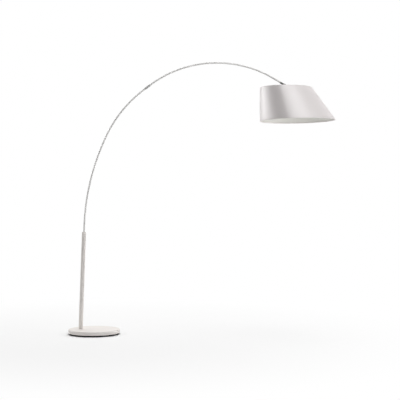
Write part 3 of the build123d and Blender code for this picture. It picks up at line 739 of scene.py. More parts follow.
@dataclass(frozen=True)
class Moulding(Finish):
    """Moulded plastic: a slight cloud from the flow in the mould and a fine spark-eroded grain."""

    dull: float = 0.88
    swing: Range = (-0.04, 0.05)
    cloud: Noise = Noise(11 * MM, 3.0)
    bumps: Noise = Noise(0.6 * MM, 1.0)
    depth: float = 0.02 * MM
    strength: float = 0.4


@dataclass(frozen=True)
class Fibre(Finish):
    """Pressed fibre sheet with darker flecks that stand out of it."""

    dull: float = 0.6
    swing: Range = (-0.05, 0.1)
    cloud: Noise = Noise(0.8 * MM, 4.0, (1.0, 1.0, 0.3))
    bumps: Noise = cloud
    depth: float = 0.05 * MM
    strength: float = 0.4


@dataclass(frozen=True)
class Glaze(Finish):
    """Glazed or glassy white: a clear coat over a body that lets light in a little."""

    strength: float = 0.2
    glow: float = 0.25
    coat: float = 0.4


WHITE_PAINT = PowderCoat("white_powder_coat", (0.83, 0.79, 0.755), 0.44)
BASE_PAINT = PowderCoat("white_satin_coat", (0.855, 0.815, 0.78), 0.62)
ARM_PAINT = PowderCoat("white_tube_coat", (0.80, 0.788, 0.775), 0.44)
# Painted shade: the white-painted sleeve is given a grey colour for the shade that falls on it.
SLEEVE_PAINTED_SHADE = PowderCoat("sleeve_coat_painted_shade", (0.53, 0.526, 0.52), 0.4)
WIRE_PAINT = PowderCoat("white_dipped_wire", (0.80, 0.77, 0.74), 0.3, bumps=Noise(1.4 * MM, 1.0))
SHADE_OUTSIDE = Laminate("white_satin_laminate", (0.835, 0.79, 0.785), 0.37)
SHADE_INSIDE = Film("white_backing_film", (0.79, 0.78, 0.74), 0.55)
BLACK_RUBBER = Rubber("black_moulded_rubber", (0.012, 0.012, 0.012), 0.7)
IRON = CastIron("grey_cast_iron", (0.16, 0.155, 0.15), 0.7)
ZINC = Metal("zinc_plated_steel", (0.62, 0.62, 0.63), 0.34, 0.85, grain=Grain.SPANGLE)
DARK_METAL = Metal("dark_nickel", (0.045, 0.044, 0.043), 0.36, 0.7)
BRASS = Metal("tarnished_brass", (0.75, 0.52, 0.22), 0.28, 0.7)
BULB_METAL = Metal("nickelled_cap", (0.66, 0.65, 0.62), 0.25, 0.85, grain=Grain.DRAWN)
NYLON = Moulding("natural_nylon", (0.72, 0.70, 0.62), 0.45, glow=0.3)
BLACK_MOULDING = Moulding("black_phenolic", (0.018, 0.017, 0.016), 0.3)
BULB_BLACK = Moulding("black_glass_insulator", (0.012, 0.011, 0.014), 0.12)
LEAD_SHEATH = Moulding(
    "white_lead_sheath", (0.72, 0.71, 0.69), 0.4, bumps=Noise(1.5 * MM, 1.0), depth=0.03 * MM
)
TERMINAL_WHITE = Moulding("white_terminal_block", (0.70, 0.70, 0.68), 0.42)
PRESSED_FIBRE = Fibre("red_brown_fibre", (0.17, 0.05, 0.03), 0.6)
PORCELAIN = Glaze("glazed_porcelain", (0.80, 0.79, 0.76), 0.16)
OPAL_GLASS = Glaze("opal_glass", (0.86, 0.86, 0.84), 0.22, glow=0.5, reach=6 * MM)


# Pieces


def make_piece(name: str, surface: Surface, *finishes: Finish) -> Piece:
    """Put a surface into a mesh object at the origin.

    Args:
        name: Name of the piece.
        surface: Its closed surface.
        *finishes: Its finishes, in the order of the surface's part numbers.

    Returns:
        The piece.
    """
    mesh = bpy.data.meshes.new(name)
    mesh.from_pydata(surface.points.tolist(), [], surface.quads.tolist() + surface.triangles.tolist())
    for finish in finishes:
        mesh.materials.append(finish.material())
    if surface.parts is not None:
        mesh.polygons.foreach_set("material_index", surface.parts.astype(np.int32))
    if surface.uv is not None:
        mesh.uv_layers.new(name="surface").data.foreach_set("uv", surface.uv.astype(np.float32).ravel())
    mesh.shade_smooth()
    mesh.set_sharp_from_angle(angle=SHARP_EDGE)
    mesh.update()
    piece = bpy.data.objects.new(name, mesh)
    bpy.context.scene.collection.objects.link(piece)
    return piece


@dataclass
class SubAssembly:
    """A group of pieces that is built and dressed together."""

    def build(self) -> None:
        """Build and dress the group's pieces, which each group does in its own way."""
        raise NotImplementedError

    def dress(self, finish: Finish, *nodes: str) -> None:
        """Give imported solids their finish.

        Args:
            finish: The finish.
            *nodes: Names of the solids.
        """
        for node in nodes:
            for slot in frame["nodes"][node].material_slots:
                slot.material = finish.material()
            LOG.info("%s: solid %s in %s", type(self).__name__, node, finish.name)

    def settle(self, piece: Piece, body: Body, slot: Slot, *nodes: str) -> None:
        """Let a new piece ride on its body and stand for solids.

        Args:
            piece: The piece.
            body: Body that it moves with.
            slot: Record's slot of its finish, not used.
            *nodes: Names of the solids that it stands for.
        """
        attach(piece, body.value)
        if nodes:
            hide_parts(*nodes)
        LOG.info("%s: piece %s on %s", type(self).__name__, piece.name, body.value)


@dataclass
class Base(SubAssembly):
    """Round foot: white cover, cast weight, rubber pad and the grommet for the cord.

    Attributes:
        pad_edge: Radius of the pad's lower edge.
        pad_lip: Radius of the pad's upper edge.
        tread_start: Radius where the tread's ridges start.
        tread_pitch: Distance from ridge to ridge.
        tread_depth: Depth of the grooves between the ridges.
        wall_slope: Lean of the cover's wall, in radians.
        grommet_length: Length of the grommet.
        grommet_lip: Thickness of each of its lips.
        grommet_bore: Diameter of its bore.
        grommet_neck: Diameter of its neck in the cover's wall.
    """

    pad_edge: float = 1.5 * MM
    pad_lip: float = 0.8 * MM
    tread_start: float = 96 * MM
    tread_pitch: float = 5 * MM
    tread_depth: float = 1.0 * MM
    wall_slope: float = math.atan2(4.0, 26.0)
    grommet_length: float = 5.6 * MM
    grommet_lip: float = 2 * MM
    grommet_bore: float = 6.4 * MM
    grommet_neck: float = 10.0 * MM

    def build(self) -> None:
        """Build the pad and the grommet, and dress the solids."""
        self.dress(BASE_PAINT, "base_cover")
        self.dress(IRON, "base_weight")
        self.settle(self.pad(), Body.STAND, Slot.RUBBER, "base_pad")
        self.settle(self.grommet(), Body.STAND, Slot.RUBBER, "cord_gland")

    def pad(self) -> Piece:
        """Rubber pad, turned, with round ridges on its underside.

        The underside's height is the groove's depth times the square of the sine of the
        distance past the tread's start, one half turn to a pitch.

        Returns:
            The piece.
        """
        _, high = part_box("base_pad")
        radius = high.x
        corners = [(0, high.z, 0), (radius, high.z, self.pad_lip), (radius, 0, self.pad_edge), (0, 0, 0)]
        outline = rounded(corners, closed=False)
        underside = densified(outline[-2:], step=self.tread_pitch / 8, closed=False)
        across = underside[:, 0] - self.tread_start
        tread = window(underside[:, 0], self.tread_start, radius - 2 * self.tread_pitch, fade=2 * MM)
        underside[:, 1] += self.tread_depth * np.sin(math.pi * across / self.tread_pitch) ** 2 * tread
        dense = np.concatenate([outline[:-2], underside])
        return make_piece("rubber_pad", lathe(dense, Axis((0, 0, 0), *UPRIGHT), segments=180), BLACK_RUBBER)

    def grommet(self) -> Piece:
        """Grommet: a section with a round lip on each side of the cover's wall, turned about its bore.

        Returns:
            The piece.
        """
        low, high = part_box("cord_gland")
        middle = (low + high) / 2
        outward = (0, math.cos(self.wall_slope), -math.sin(self.wall_slope))
        half = self.grommet_length / 2
        lip = (high.x - low.x) / 2
        bore = self.grommet_bore / 2
        neck = self.grommet_neck / 2
        wall = half - self.grommet_lip
        corners = [
            (bore, -half, 0.7 * MM),
            (lip, -half, 0.8 * MM),
            (lip, -wall, 0.5 * MM),
            (neck, -wall, 0),
            (neck, wall, 0),
            (lip, wall, 0.5 * MM),
            (lip, half, 0.9 * MM),
            (bore, half, 0.7 * MM),
        ]
        axis = Axis(tuple(middle), outward, (1, 0, 0))
        surface = lathe(rounded(corners, closed=True), axis, segments=48)
        return make_piece("cord_grommet", surface, BLACK_RUBBER)


@dataclass
class Pole(SubAssembly):
    """Leaning pole with its foot, its cap and the bearings in it."""

    def build(self) -> None:
        """Dress the solids."""
        self.dress(WHITE_PAINT, "pole_tube", "pole_cap")
        self.dress(ZINC, "pole_foot", "foot_washer", "foot_nut", "friction_screw", "stop_screw")
        self.dress(NYLON, "arm_bush", "foot_bush")


@dataclass
class Arm(SubAssembly):
    """Two bent tubes, the sleeve over their splice and what holds them."""

    def build(self) -> None:
        """Dress the solids."""
        self.dress(ARM_PAINT, "arm_lower_tube", "arm_upper_tube")
        self.dress(SLEEVE_PAINTED_SHADE, "arm_sleeve")
        self.dress(ZINC, "arm_foot", "arm_spigot", "sleeve_screws", "fork_screw")


def holder_axis() -> Axis:
    """Upright axis of the lamp holder, with heights measured downwards from the swivel."""
    pivot = next(joint["pos_m"] for joint in frame["joints"] if joint["name"] == "shade_tilt")
    return Axis(tuple(pivot), (0, 0, -1), (1, 0, 0))


@dataclass
class Swivel(SubAssembly):
    """Fork and tongue at the arm's end, with the threaded stem that carries the holder.

    Attributes:
        stem_radius: Radius of the stem's thread at its crests.
        stem_pitch: Pitch of the stem's thread.
        stem_depth: Depth of the stem's thread.
        stem_start: Depth below the swivel where the bare thread starts.
        stem_end: Depth below the swivel where it ends.
    """

    stem_radius: float = 5.3 * MM
    stem_pitch: float = 1.0 * MM
    stem_depth: float = 0.5 * MM
    stem_start: float = 9.0 * MM
    stem_end: float = 19.6 * MM

    def build(self) -> None:
        """Build the stem's thread and dress the solids."""
        self.dress(DARK_METAL, "swivel_fork", "swivel_tongue", "stem_locknut", "pivot_screws")
        self.dress(PRESSED_FIBRE, "friction_washers")
        self.settle(self.stem_thread(), Body.HEAD, Slot.DARK_METAL)

    def stem_thread(self) -> Piece:
        """Thread on the bare part of the stem: a turned ring with a helical groove in its wall.

        Returns:
            The piece.
        """
        inner = self.stem_radius - 2 * self.stem_depth
        corners = [
            (inner, self.stem_start, 0),
            (self.stem_radius, self.stem_start, 0.2 * MM),
            (self.stem_radius, self.stem_end, 0.2 * MM),
            (inner, self.stem_end, 0),
        ]
        outline = densified(rounded(corners, closed=True, steps=3), step=self.stem_pitch / 8, closed=True)
        least = self.stem_radius - self.stem_depth / 2
        thread = helical_thread(self.stem_depth, self.stem_pitch, self.stem_start, self.stem_end, least)
        surface = lathe(outline, holder_axis(), segments=48, relief=thread)
        return make_piece("stem_thread", surface, DARK_METAL)


@dataclass
class LampHolder(SubAssembly):
    """Two-part lamp holder with its core, its contacts and the ring nut for the shade.

    Attributes:
        top: Depth of the cap's top below the swivel.
        joint: Depth of the joint between cap and skirt.
        end: Depth of the skirt's lower end.
        cap_radius: Outer radius of the cap.
        cap_wall: Wall of the cap.
        crown: Radius of the cap's flat crown.
        shoulder: Radius of the dome's shoulder, and its depth below the crown.
        dome: Depth of the dome.
        boss_radius: Radius of the boss in the cap.
        boss_end: Depth of the boss's end below the swivel.
        stem_radius: Radius of the boss's bore for the stem.
        skirt_radius: Outer radius of the skirt.
        skirt_bore: Radius of the skirt's bore.
        core_bore: Radius of the seat for the core's flange.
        flange_radius: Radius of the flange that the shade hangs under.
        flange: Thickness of that flange.
        seat: Depth of the seat for the core's flange.
        thread_pitch: Pitch of the skirt's outer thread.
        thread_depth: Depth of that thread.
        play: Gap between parts that meet.
        cap_grips: Flutes round the cap.
        cap_grip: Depth of these flutes.
        cap_plain: Plain bands above the flutes, from the crown down, and below them.
        nut_grips: Hollows round the ring nut.
        nut_grip: Depth of these hollows.
        nut_plain: Plain band above and below them.
    """

    top: float = 24 * MM
    joint: float = 48 * MM
    end: float = 84 * MM
    cap_radius: float = 20 * MM
    cap_wall: float = 2 * MM
    crown: float = 8.5 * MM
    shoulder: Range = (13.5 * MM, 2.2 * MM)
    dome: float = 8 * MM
    boss_radius: float = 9 * MM
    boss_end: float = 36 * MM
    stem_radius: float = 5.05 * MM
    skirt_radius: float = 19.75 * MM
    skirt_bore: float = 15.5 * MM
    core_bore: float = 17.55 * MM
    flange_radius: float = 24 * MM
    flange: float = 3 * MM
    seat: float = 3.5 * MM
    thread_pitch: float = 3 * MM
    thread_depth: float = 0.9 * MM
    play: float = 0.05 * MM
    cap_grips: int = 36
    cap_grip: float = 0.7 * MM
    cap_plain: Range = (13 * MM, 3 * MM)
    nut_grips: int = 24
    nut_grip: float = 1.0 * MM
    nut_plain: float = 0.6 * MM

    def build(self) -> None:
        """Build cap, skirt and ring nut, and dress the solids."""
        self.settle(self.cap(), Body.HEAD, Slot.MOULDING, "holder_cap")
        self.settle(self.skirt(), Body.HEAD, Slot.MOULDING, "holder_skirt")
        self.settle(self.ring_nut(), Body.HEAD, Slot.MOULDING, "shade_ring")
        self.dress(PORCELAIN, "holder_core")
        self.dress(BRASS, "terminal_screws", "contact_shell", "contact_centre")

    def cap(self) -> Piece:
        """Domed cap: a thin section with a boss for the stem, turned, with grip flutes in its wall.

        Returns:
            The piece.
        """
        inner = self.cap_radius - self.cap_wall
        ceiling = self.top + 2 * self.cap_wall
        rim = self.joint - self.play
        radius, drop = self.shoulder
        corners = [
            (self.stem_radius, self.top, 0.3 * MM),
            (self.crown, self.top, 1.5 * MM),
            (radius, self.top + drop, 5 * MM),
            (self.cap_radius, self.top + self.dome, 4 * MM),
            (self.cap_radius, rim, 0.5 * MM),
            (inner, rim, 0.3 * MM),
            (inner, ceiling + self.dome, 3 * MM),
            (self.boss_radius, ceiling, 1 * MM),
            (self.boss_radius, self.boss_end, 0.5 * MM),
            (self.stem_radius, self.boss_end, 0.3 * MM),
        ]
        outline = densified(rounded(corners, closed=True), step=0.8 * MM, closed=True)
        first = self.top + self.cap_plain[0]
        last = self.joint - self.cap_plain[1]
        least = inner + self.cap_wall / 2
        grip = flutes(self.cap_grip, self.cap_grips, first, last, least)
        surface = lathe(outline, holder_axis(), segments=8 * self.cap_grips, relief=grip)
        return make_piece("holder_cap_moulding", surface, BLACK_MOULDING)

    def skirt(self) -> Piece:
        """Lower half of the holder: a section with a flange, turned, with a thread for the ring nut.

        Returns:
            The piece.
        """
        seat = self.joint + self.seat
        corners = [
            (self.core_bore, self.joint, 0.2 * MM),
            (self.flange_radius, self.joint, 0.6 * MM),
            (self.flange_radius, self.joint + self.flange, 0.6 * MM),
            (self.skirt_radius, self.joint + self.flange, 0),
            (self.skirt_radius, self.end, 1.2 * MM),
            (self.skirt_bore, self.end, 1.2 * MM),
            (self.skirt_bore, seat, 0),
            (self.core_bore, seat, 0),
        ]
        outline = densified(rounded(corners, closed=True), step=self.thread_pitch / 10, closed=True)
        first = self.joint + self.flange + self.thread_pitch
        last = self.end - self.thread_pitch
        least = self.skirt_radius - 0.5 * MM
        thread = helical_thread(self.thread_depth, self.thread_pitch, first, last, least)
        surface = lathe(outline, holder_axis(), segments=120, relief=thread)
        return make_piece("holder_skirt_moulding", surface, BLACK_MOULDING)

    def ring_nut(self) -> Piece:
        """Ring nut: a turned ring with grip hollows in its wall.

        Returns:
            The piece.
        """
        low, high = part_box("shade_ring")
        pivot_height = holder_axis().origin[2]
        top = pivot_height - high.z
        bottom = pivot_height - low.z
        radius = (high.y - low.y) / 2
        bore = self.skirt_radius + self.play
        corners = [
            (bore, top, 0.5 * MM),
            (radius, top, 1.0 * MM),
            (radius, bottom, 1.6 * MM),
            (bore, bottom, 0.8 * MM),
        ]
        outline = densified(rounded(corners, closed=True), step=0.5 * MM, closed=True)
        first = top + self.nut_plain
        last = bottom - self.nut_plain
        grip = flutes(self.nut_grip, self.nut_grips, first, last, least_radius=bore + 2 * MM)
        surface = lathe(outline, holder_axis(), segments=10 * self.nut_grips, relief=grip)
        return make_piece("shade_ring_nut", surface, BLACK_MOULDING)


@dataclass
class Bulb(SubAssembly):
    """Round opal bulb in the holder.

    Attributes:
        cap_radius: Outer radius of the screw cap.
        cap_top: Depth of the cap's upper end below the swivel.
        cap_end: Depth where the glass starts.
        thread_pitch: Pitch of the cap's thread.
        thread_depth: Depth of the cap's thread.
        plain: Plain bands above and below the thread.
    """

    cap_radius: float = 13.1 * MM
    cap_top: float = 63 * MM
    cap_end: float = 85 * MM
    thread_pitch: float = 3.62 * MM
    thread_depth: float = 0.9 * MM
    plain: Range = (2 * MM, 4 * MM)

    def build(self) -> None:
        """Build the screw cap and dress the solids."""
        self.settle(self.screw_cap(), Body.HEAD, Slot.BULB_METAL, "bulb_cap")
        self.dress(OPAL_GLASS, "bulb_globe")
        self.dress(BULB_BLACK, "bulb_insulator")

    def screw_cap(self) -> Piece:
        """Metal cap of the bulb: a turned section with a rolled thread in its wall.

        Returns:
            The piece.
        """
        corners = [
            (0, self.cap_top, 0),
            (self.cap_radius, self.cap_top, 1.2 * MM),
            (self.cap_radius, self.cap_end, 0.4 * MM),
            (0, self.cap_end, 0),
        ]
        outline = densified(rounded(corners, closed=False), step=self.thread_pitch / 12, closed=False)
        first = self.cap_top + self.plain[0]
        last = self.cap_end - self.plain[1]
        least = self.cap_radius - 0.2 * MM
        thread = helical_thread(self.thread_depth, self.thread_pitch, first, last, least)
        surface = lathe(outline, holder_axis(), segments=96, relief=thread)
        return make_piece("bulb_screw_cap", surface, BULB_METAL)


@dataclass
class Shade(SubAssembly):
    """Oblique shade: laminate rolled round a wire above and hemmed round one below, on spokes and a hub.

    Attributes:
        top_radius: Radius of the upper rim.
        bottom_radius: Radius of the lower rim.
        height: Height from rim to rim, between their centres.
        rim_drop: Depth of the upper rim below the swivel.
        bottom_tilt: Tilt of the lower rim, in radians.
        wall: Thickness of the laminate.
        wire_radius: Radius of the rim wires.
        wire_room: Gap between wire and laminate.
        roll_turn: How far the laminate goes round the upper wire, in radians.
        hem_fold: Distance over which the laminate folds at the lower rim.
        hem_mouth: Angle that the hem leaves open between the lower wire and the wall, in radians.
        seam_angle: Angle of the glued seam, at the back, in radians.
        seam_step: Step where the outer layer ends.
        seam_edge: Distance over which that step rises.
        seam_fade: Distance over which the outer layer comes down to the inner one.
        spokes: Spokes from the hub to the upper rim.
        weld_size: Radius of a weld bead, and half its height.
        weld_inset: Distance of the beads from the hub's edge.
        columns: Points round the shade.
        wire_sides: Points round a wire.
        roll_steps: Steps in the upper roll.
        wall_steps: Steps down the wall.
        fold_steps: Steps in the fold at the lower rim.
        wrap_steps: Steps round the lower wire.
        weld_steps: Steps over a weld bead.
    """

    top_radius: float = 185.5 * MM
    bottom_radius: float = 270.5 * MM
    height: float = 238.5 * MM
    rim_drop: float = 11.2 * MM
    bottom_tilt: float = math.radians(1.0)
    wall: float = 1.0 * MM
    wire_radius: float = 2.0 * MM
    wire_room: float = 0.05 * MM
    roll_turn: float = math.radians(255)
    hem_fold: float = 0.6 * MM
    hem_mouth: float = math.radians(55)
    seam_angle: float = math.radians(90)
    seam_step: float = 0.6 * MM
    seam_edge: float = 0.4 * MM
    seam_fade: float = 40 * MM
    spokes: int = 3
    weld_size: Range = (3.0 * MM, 1.6 * MM)
    weld_inset: float = 2 * MM
    columns: int = 288
    wire_sides: int = 12
    roll_steps: int = 24
    wall_steps: int = 12
    fold_steps: int = 4
    wrap_steps: int = 20
    weld_steps: int = 12

    def build(self) -> None:
        """Build skin, wires and welds, and dress the solids."""
        self.settle(self.skin(), Body.SHADE, Slot.LAMINATE, "shade_skin")
        self.settle(self.rim_wire("upper_rim_wire", False), Body.SHADE, Slot.WIRE, "shade_top_ring")
        self.settle(self.rim_wire("lower_rim_wire", True), Body.SHADE, Slot.WIRE, "shade_bottom_ring")
        self.settle(self.welds(), Body.SHADE, Slot.WIRE)
        self.dress(WIRE_PAINT, "shade_hub", "shade_spokes")

    def rim(self, angle: Floats, lower: bool) -> tuple[Floats, Floats]:
        """Points of a rim's circle and the directions along it.

        The lower circle is moved along +X by the difference of the radii, so that the shade is
        upright on the pole's side, and is tilted about its own diameter along +Y.

        Args:
            angle: Angles round the shade, from +X towards +Y.
            lower: Whether the lower rim is meant.

        Returns:
            Points and unit directions.
        """
        pivot = np.array(holder_axis().origin)
        radius = self.bottom_radius if lower else self.top_radius
        tilt = self.bottom_tilt if lower else 0.0
        drop = self.rim_drop + (self.height if lower else 0.0)
        shift = self.bottom_radius - self.top_radius if lower else 0.0
        centre = pivot + np.array([shift, 0, -drop])
        across = np.array([math.cos(tilt), 0, math.sin(tilt)])
        aside = np.array([0.0, 1.0, 0.0])
        cosine = np.cos(angle)[:, None]
        sine = np.sin(angle)[:, None]
        return centre + radius * (cosine * across + sine * aside), cosine * aside - sine * across

    def rulings(self, angle: Floats) -> tuple[Floats, Floats, Floats, Floats]:
        """The straight lines from rim to rim that the skin is ruled by.

        A ruling joins the points of both rims at one angle. The outward direction is square to
        the ruling and to the mean direction along the rims.

        Args:
            angle: Angles round the shade.

        Returns:
            Upper points, unit directions downwards, lengths, and unit outward directions.
        """
        upper, upper_way = self.rim(angle, False)
        lower, lower_way = self.rim(angle, True)
        line = lower - upper
        length = np.linalg.norm(line, axis=1)
        down = line / length[:, None]
        outward = np.cross(upper_way + lower_way, -down)
        outward /= np.linalg.norm(outward, axis=1)[:, None]
        return upper, down, length, outward

    def hem(self, angle: Floats) -> tuple[Floats, Floats, Floats]:
        """How the hem lies in the section of every ruling.

        The hem lies in the lower rim's plane, so it runs inwards along the line in which that
        plane cuts the section. Directions are pairs of an outward and a downward part.

        Args:
            angle: Angles round the shade.

        Returns:
            Direction inwards, direction square to it and upwards, and the angle between hem and wall.
        """
        _, down, _, outward = self.rulings(angle)
        square = np.array([-math.sin(self.bottom_tilt), 0, math.cos(self.bottom_tilt)])
        slope = (outward @ square) / (down @ square)
        inward = np.stack([-np.ones_like(slope), slope]) / np.hypot(1, slope)
        return inward, np.stack([-inward[1], inward[0]]), np.arccos(-inward[1])

    def lower_wire(self, angle: Floats, length: Floats) -> Floats:
        """Middle of the lower wire in every section, where it lies in the corner of wall and hem.

        It is as far from both as wire, gap and wall need, and so lies in from the corner by that
        distance over the tangent of half the angle.

        Args:
            angle: Angles round the shade.
            length: Length of each ruling.

        Returns:
            Outward and downward parts.
        """
        inward, upward, corner = self.hem(angle)
        room = self.wire_radius + self.wire_room + self.wall
        end = np.stack([np.zeros_like(length), length])
        return end + room / np.tan(corner / 2) * inward + room * upward

    def section(self, angle: Floats, length: Floats) -> tuple[Floats, Floats, Integers]:
        """The laminate's section along every ruling, a thin strip closed round a wire at both ends.

        The strip's outer side runs from the end of the upper roll, round the wire on a radius of
        wire, gap and wall, straight down to the lower rim, inwards along the hem and round the
        lower wire; its inner side comes back the same way, nearer to the wires by the wall. The
        fold at the lower rim is a parabola that touches wall and hem.

        Args:
            angle: Angles round the shade.
            length: Length of each ruling.

        Returns:
            Distance outwards from the skin's outer side and distance down the ruling, with a row
            for each point of the section, and the number of the finish of each row.
        """
        inner = self.wire_radius + self.wire_room
        outer = inner + self.wall
        flat = np.zeros_like(length)
        inward, upward, corner = self.hem(angle)
        heart = self.lower_wire(angle, length)
        end = np.stack([flat, length])
        rise = np.array([[0.0], [-1.0]])
        roll_turn = np.linspace(self.roll_turn, 0, self.roll_steps + 1)[:, None]
        wrap_share = np.linspace(0, 1, self.wrap_steps + 1)[:, None]
        wrap_turn = wrap_share * (math.pi + corner - self.hem_mouth)
        share = np.linspace(0, 1, self.wall_steps + 1)[1:, None]
        bend = np.linspace(0, 1, self.fold_steps + 1)[1:, None]

        def roll(radius: float) -> Floats:
            """The upper roll on a radius about the wire, from its end to the outer wall."""
            out = radius * np.cos(roll_turn) - outer + flat
            return np.stack([out, outer - radius * np.sin(roll_turn) + flat])

        def wrap(radius: float) -> Floats:
            """The hem's wrap on a radius about the lower wire, from the hem to its end."""
            aside = np.sin(wrap_turn) * inward[:, None] - np.cos(wrap_turn) * upward[:, None]
            return heart[:, None] + radius * aside

        def straight(offset: float, low: Floats) -> Floats:
            """The wall at a distance outwards, from the upper roll down to a level."""
            return np.stack([offset + 0 * share + flat, outer + share * (low - outer)])

        fold = (1 - bend) ** 2 * rise[:, None] + bend ** 2 * inward[:, None]
        folded = end[:, None] + self.hem_fold * fold
        inner_low = length + self.wall / np.sin(corner) * (inward[1] - 1)
        outside = [roll(outer), straight(0, length - self.hem_fold), folded, wrap(outer)]
        inside = [roll(inner), straight(-self.wall, inner_low), wrap(inner)]
        strip = np.concatenate([*outside, *[part[:, ::-1] for part in inside[::-1]]], axis=1)
        side = sum(part.shape[1] for part in outside)
        return strip[0], strip[1], np.repeat([0, 1], [side, strip.shape[1] - side])

    def seam_rise(self, angle: Floats) -> Floats:
        """How far the outer layer stands proud: the step at the seam's edge, fading away from it."""
        past = ((angle - self.seam_angle + math.pi) % FULL_TURN - math.pi) * self.bottom_radius
        return self.seam_step * np.clip(1 - past / self.seam_fade, 0, 1) * (past >= 0)

    def around(self) -> Floats:
        """Even angles round the shade, with a pair of close ones at the seam's edge.

        Returns:
            The angles, in growing order.
        """
        even = np.arange(self.columns) * FULL_TURN / self.columns
        edge = self.seam_angle + np.array([-self.seam_edge, 0.0]) / self.bottom_radius
        return np.unique(np.concatenate([even[np.abs(even - self.seam_angle) > SAME_ANGLE], edge]))

    def skin(self) -> Piece:
        """Laminate skin with a rolled and a hemmed rim and a glued seam at the back.

        A point is the ruling's upper point, plus the section's parts outwards and down the ruling.

        Returns:
            The piece.
        """
        angle = self.around()
        upper, down, length, outward = self.rulings(angle)
        out, along, finish = self.section(angle, length)
        out = out + (finish == 0)[:, None] * self.seam_rise(angle)
        points = upper + out[..., None] * outward + along[..., None] * down
        rows, columns = out.shape
        u = np.concatenate([angle, angle[:1] + FULL_TURN]) * (self.top_radius + self.bottom_radius) / 2
        v = np.concatenate([along, along[:1]], axis=0)
        v = np.concatenate([v, v[:, :1]], axis=1)
        uv = grid_uv(np.broadcast_to(u, v.shape), v)
        parts = np.repeat(finish, columns)
        surface = Surface(points.reshape(-1, 3), grid_quads(rows, columns, True, True), uv=uv, parts=parts)
        return make_piece("shade_laminate", surface.outward(), SHADE_OUTSIDE, SHADE_INSIDE)

    def wire_line(self, angle: Floats, lower: bool) -> Floats:
        """Middle line of a rim's wire, which lies in the roll or in the hem.

        Args:
            angle: Angles round the shade.
            lower: Whether the lower rim is meant.

        Returns:
            A point for each angle.
        """
        upper, down, length, outward = self.rulings(angle)
        roll = np.full_like(length, self.wire_radius + self.wire_room + self.wall)
        out, along = self.lower_wire(angle, length) if lower else (-roll, roll)
        return upper + out[:, None] * outward + along[:, None] * down

    def rim_wire(self, name: str, lower: bool) -> Piece:
        """Round wire inside a rim: a circle carried along the wire's middle line.

        Args:
            name: Name of the piece.
            lower: Whether the lower rim is meant.

        Returns:
            The piece.
        """
        angle = np.arange(self.columns // 2) * 2 * FULL_TURN / self.columns
        _, down, _, outward = self.rulings(angle)
        turn = np.arange(self.wire_sides)[:, None] * FULL_TURN / self.wire_sides
        circle = np.cos(turn) * outward[:, None] + np.sin(turn) * down[:, None]
        points = self.wire_line(angle, lower)[:, None] + self.wire_radius * circle
        surface = Surface(points.reshape(-1, 3), grid_quads(len(angle), len(turn), True, True))
        return make_piece(name, surface.outward(), WIRE_PAINT)

    def welds(self) -> Piece:
        """Weld beads where the spokes meet the hub: half circles, flattened and turned.

        Returns:
            The piece.
        """
        pivot = holder_axis().origin
        low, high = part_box("shade_hub")
        reach = (high.x - low.x) / 2 - self.weld_inset
        angle = math.pi + np.arange(self.spokes) * FULL_TURN / self.spokes
        hub = np.array([pivot[0], 0.0, high.z])
        places = hub + reach * np.stack([np.cos(angle), np.sin(angle), np.zeros(self.spokes)], axis=1)
        half_circle = np.linspace(-math.pi / 2, math.pi / 2, self.weld_steps + 1)
        profile = np.stack([np.cos(half_circle), np.sin(half_circle)], axis=1) * self.weld_size
        profile[[0, -1], 0] = 0
        bead = lathe(profile, Axis((0, 0, 0), *UPRIGHT), segments=2 * self.weld_steps)
        return make_piece("spoke_welds", bead.repeated(places), WIRE_PAINT)


@dataclass
class Wiring(SubAssembly):
    """Inner lead from the terminal block to the lamp holder."""

    def build(self) -> None:
        """Dress the solids."""
        self.dress(LEAD_SHEATH, "base_lead", "arm_lead", "head_lead")
        self.dress(TERMINAL_WHITE, "terminal_block")


# Studio


@dataclass(frozen=True)
class SoftBox:
    """A flat soft lamp.

    Attributes:
        name: Name of the lamp.
        place: Where it stands.
        width: Its width.
        height: Its height.
        power: Its power in watts.
        effect: Which part of a surface's light it gives.
        aim: Point that it faces, which is in the middle of the arc if nothing else is said.
        spread: Angle of its beam, in degrees.
    """

    name: str
    place: Point
    width: float
    height: float
    power: float
    effect: Effect
    aim: Point = (0.75, 0.0, 1.2)
    spread: float = 180.0

    def light(self) -> None:
        """Put the lamp into the scene."""
        lamp = bpy.data.lights.new(self.name, "AREA")
        lamp.shape = "RECTANGLE"
        lamp.size = self.width
        lamp.size_y = self.height
        lamp.energy = self.power
        lamp.spread = math.radians(self.spread)
        lit = bpy.data.objects.new(self.name, lamp)
        lit.location = self.place
        lit.rotation_euler = (Vector(self.aim) - Vector(self.place)).to_track_quat("-Z", "Y").to_euler()
        lit.visible_camera = False
        lit.visible_glossy = self.effect is Effect.GLOSS
        lit.visible_diffuse = self.effect is Effect.DIFFUSE
        bpy.context.scene.collection.objects.link(lit)


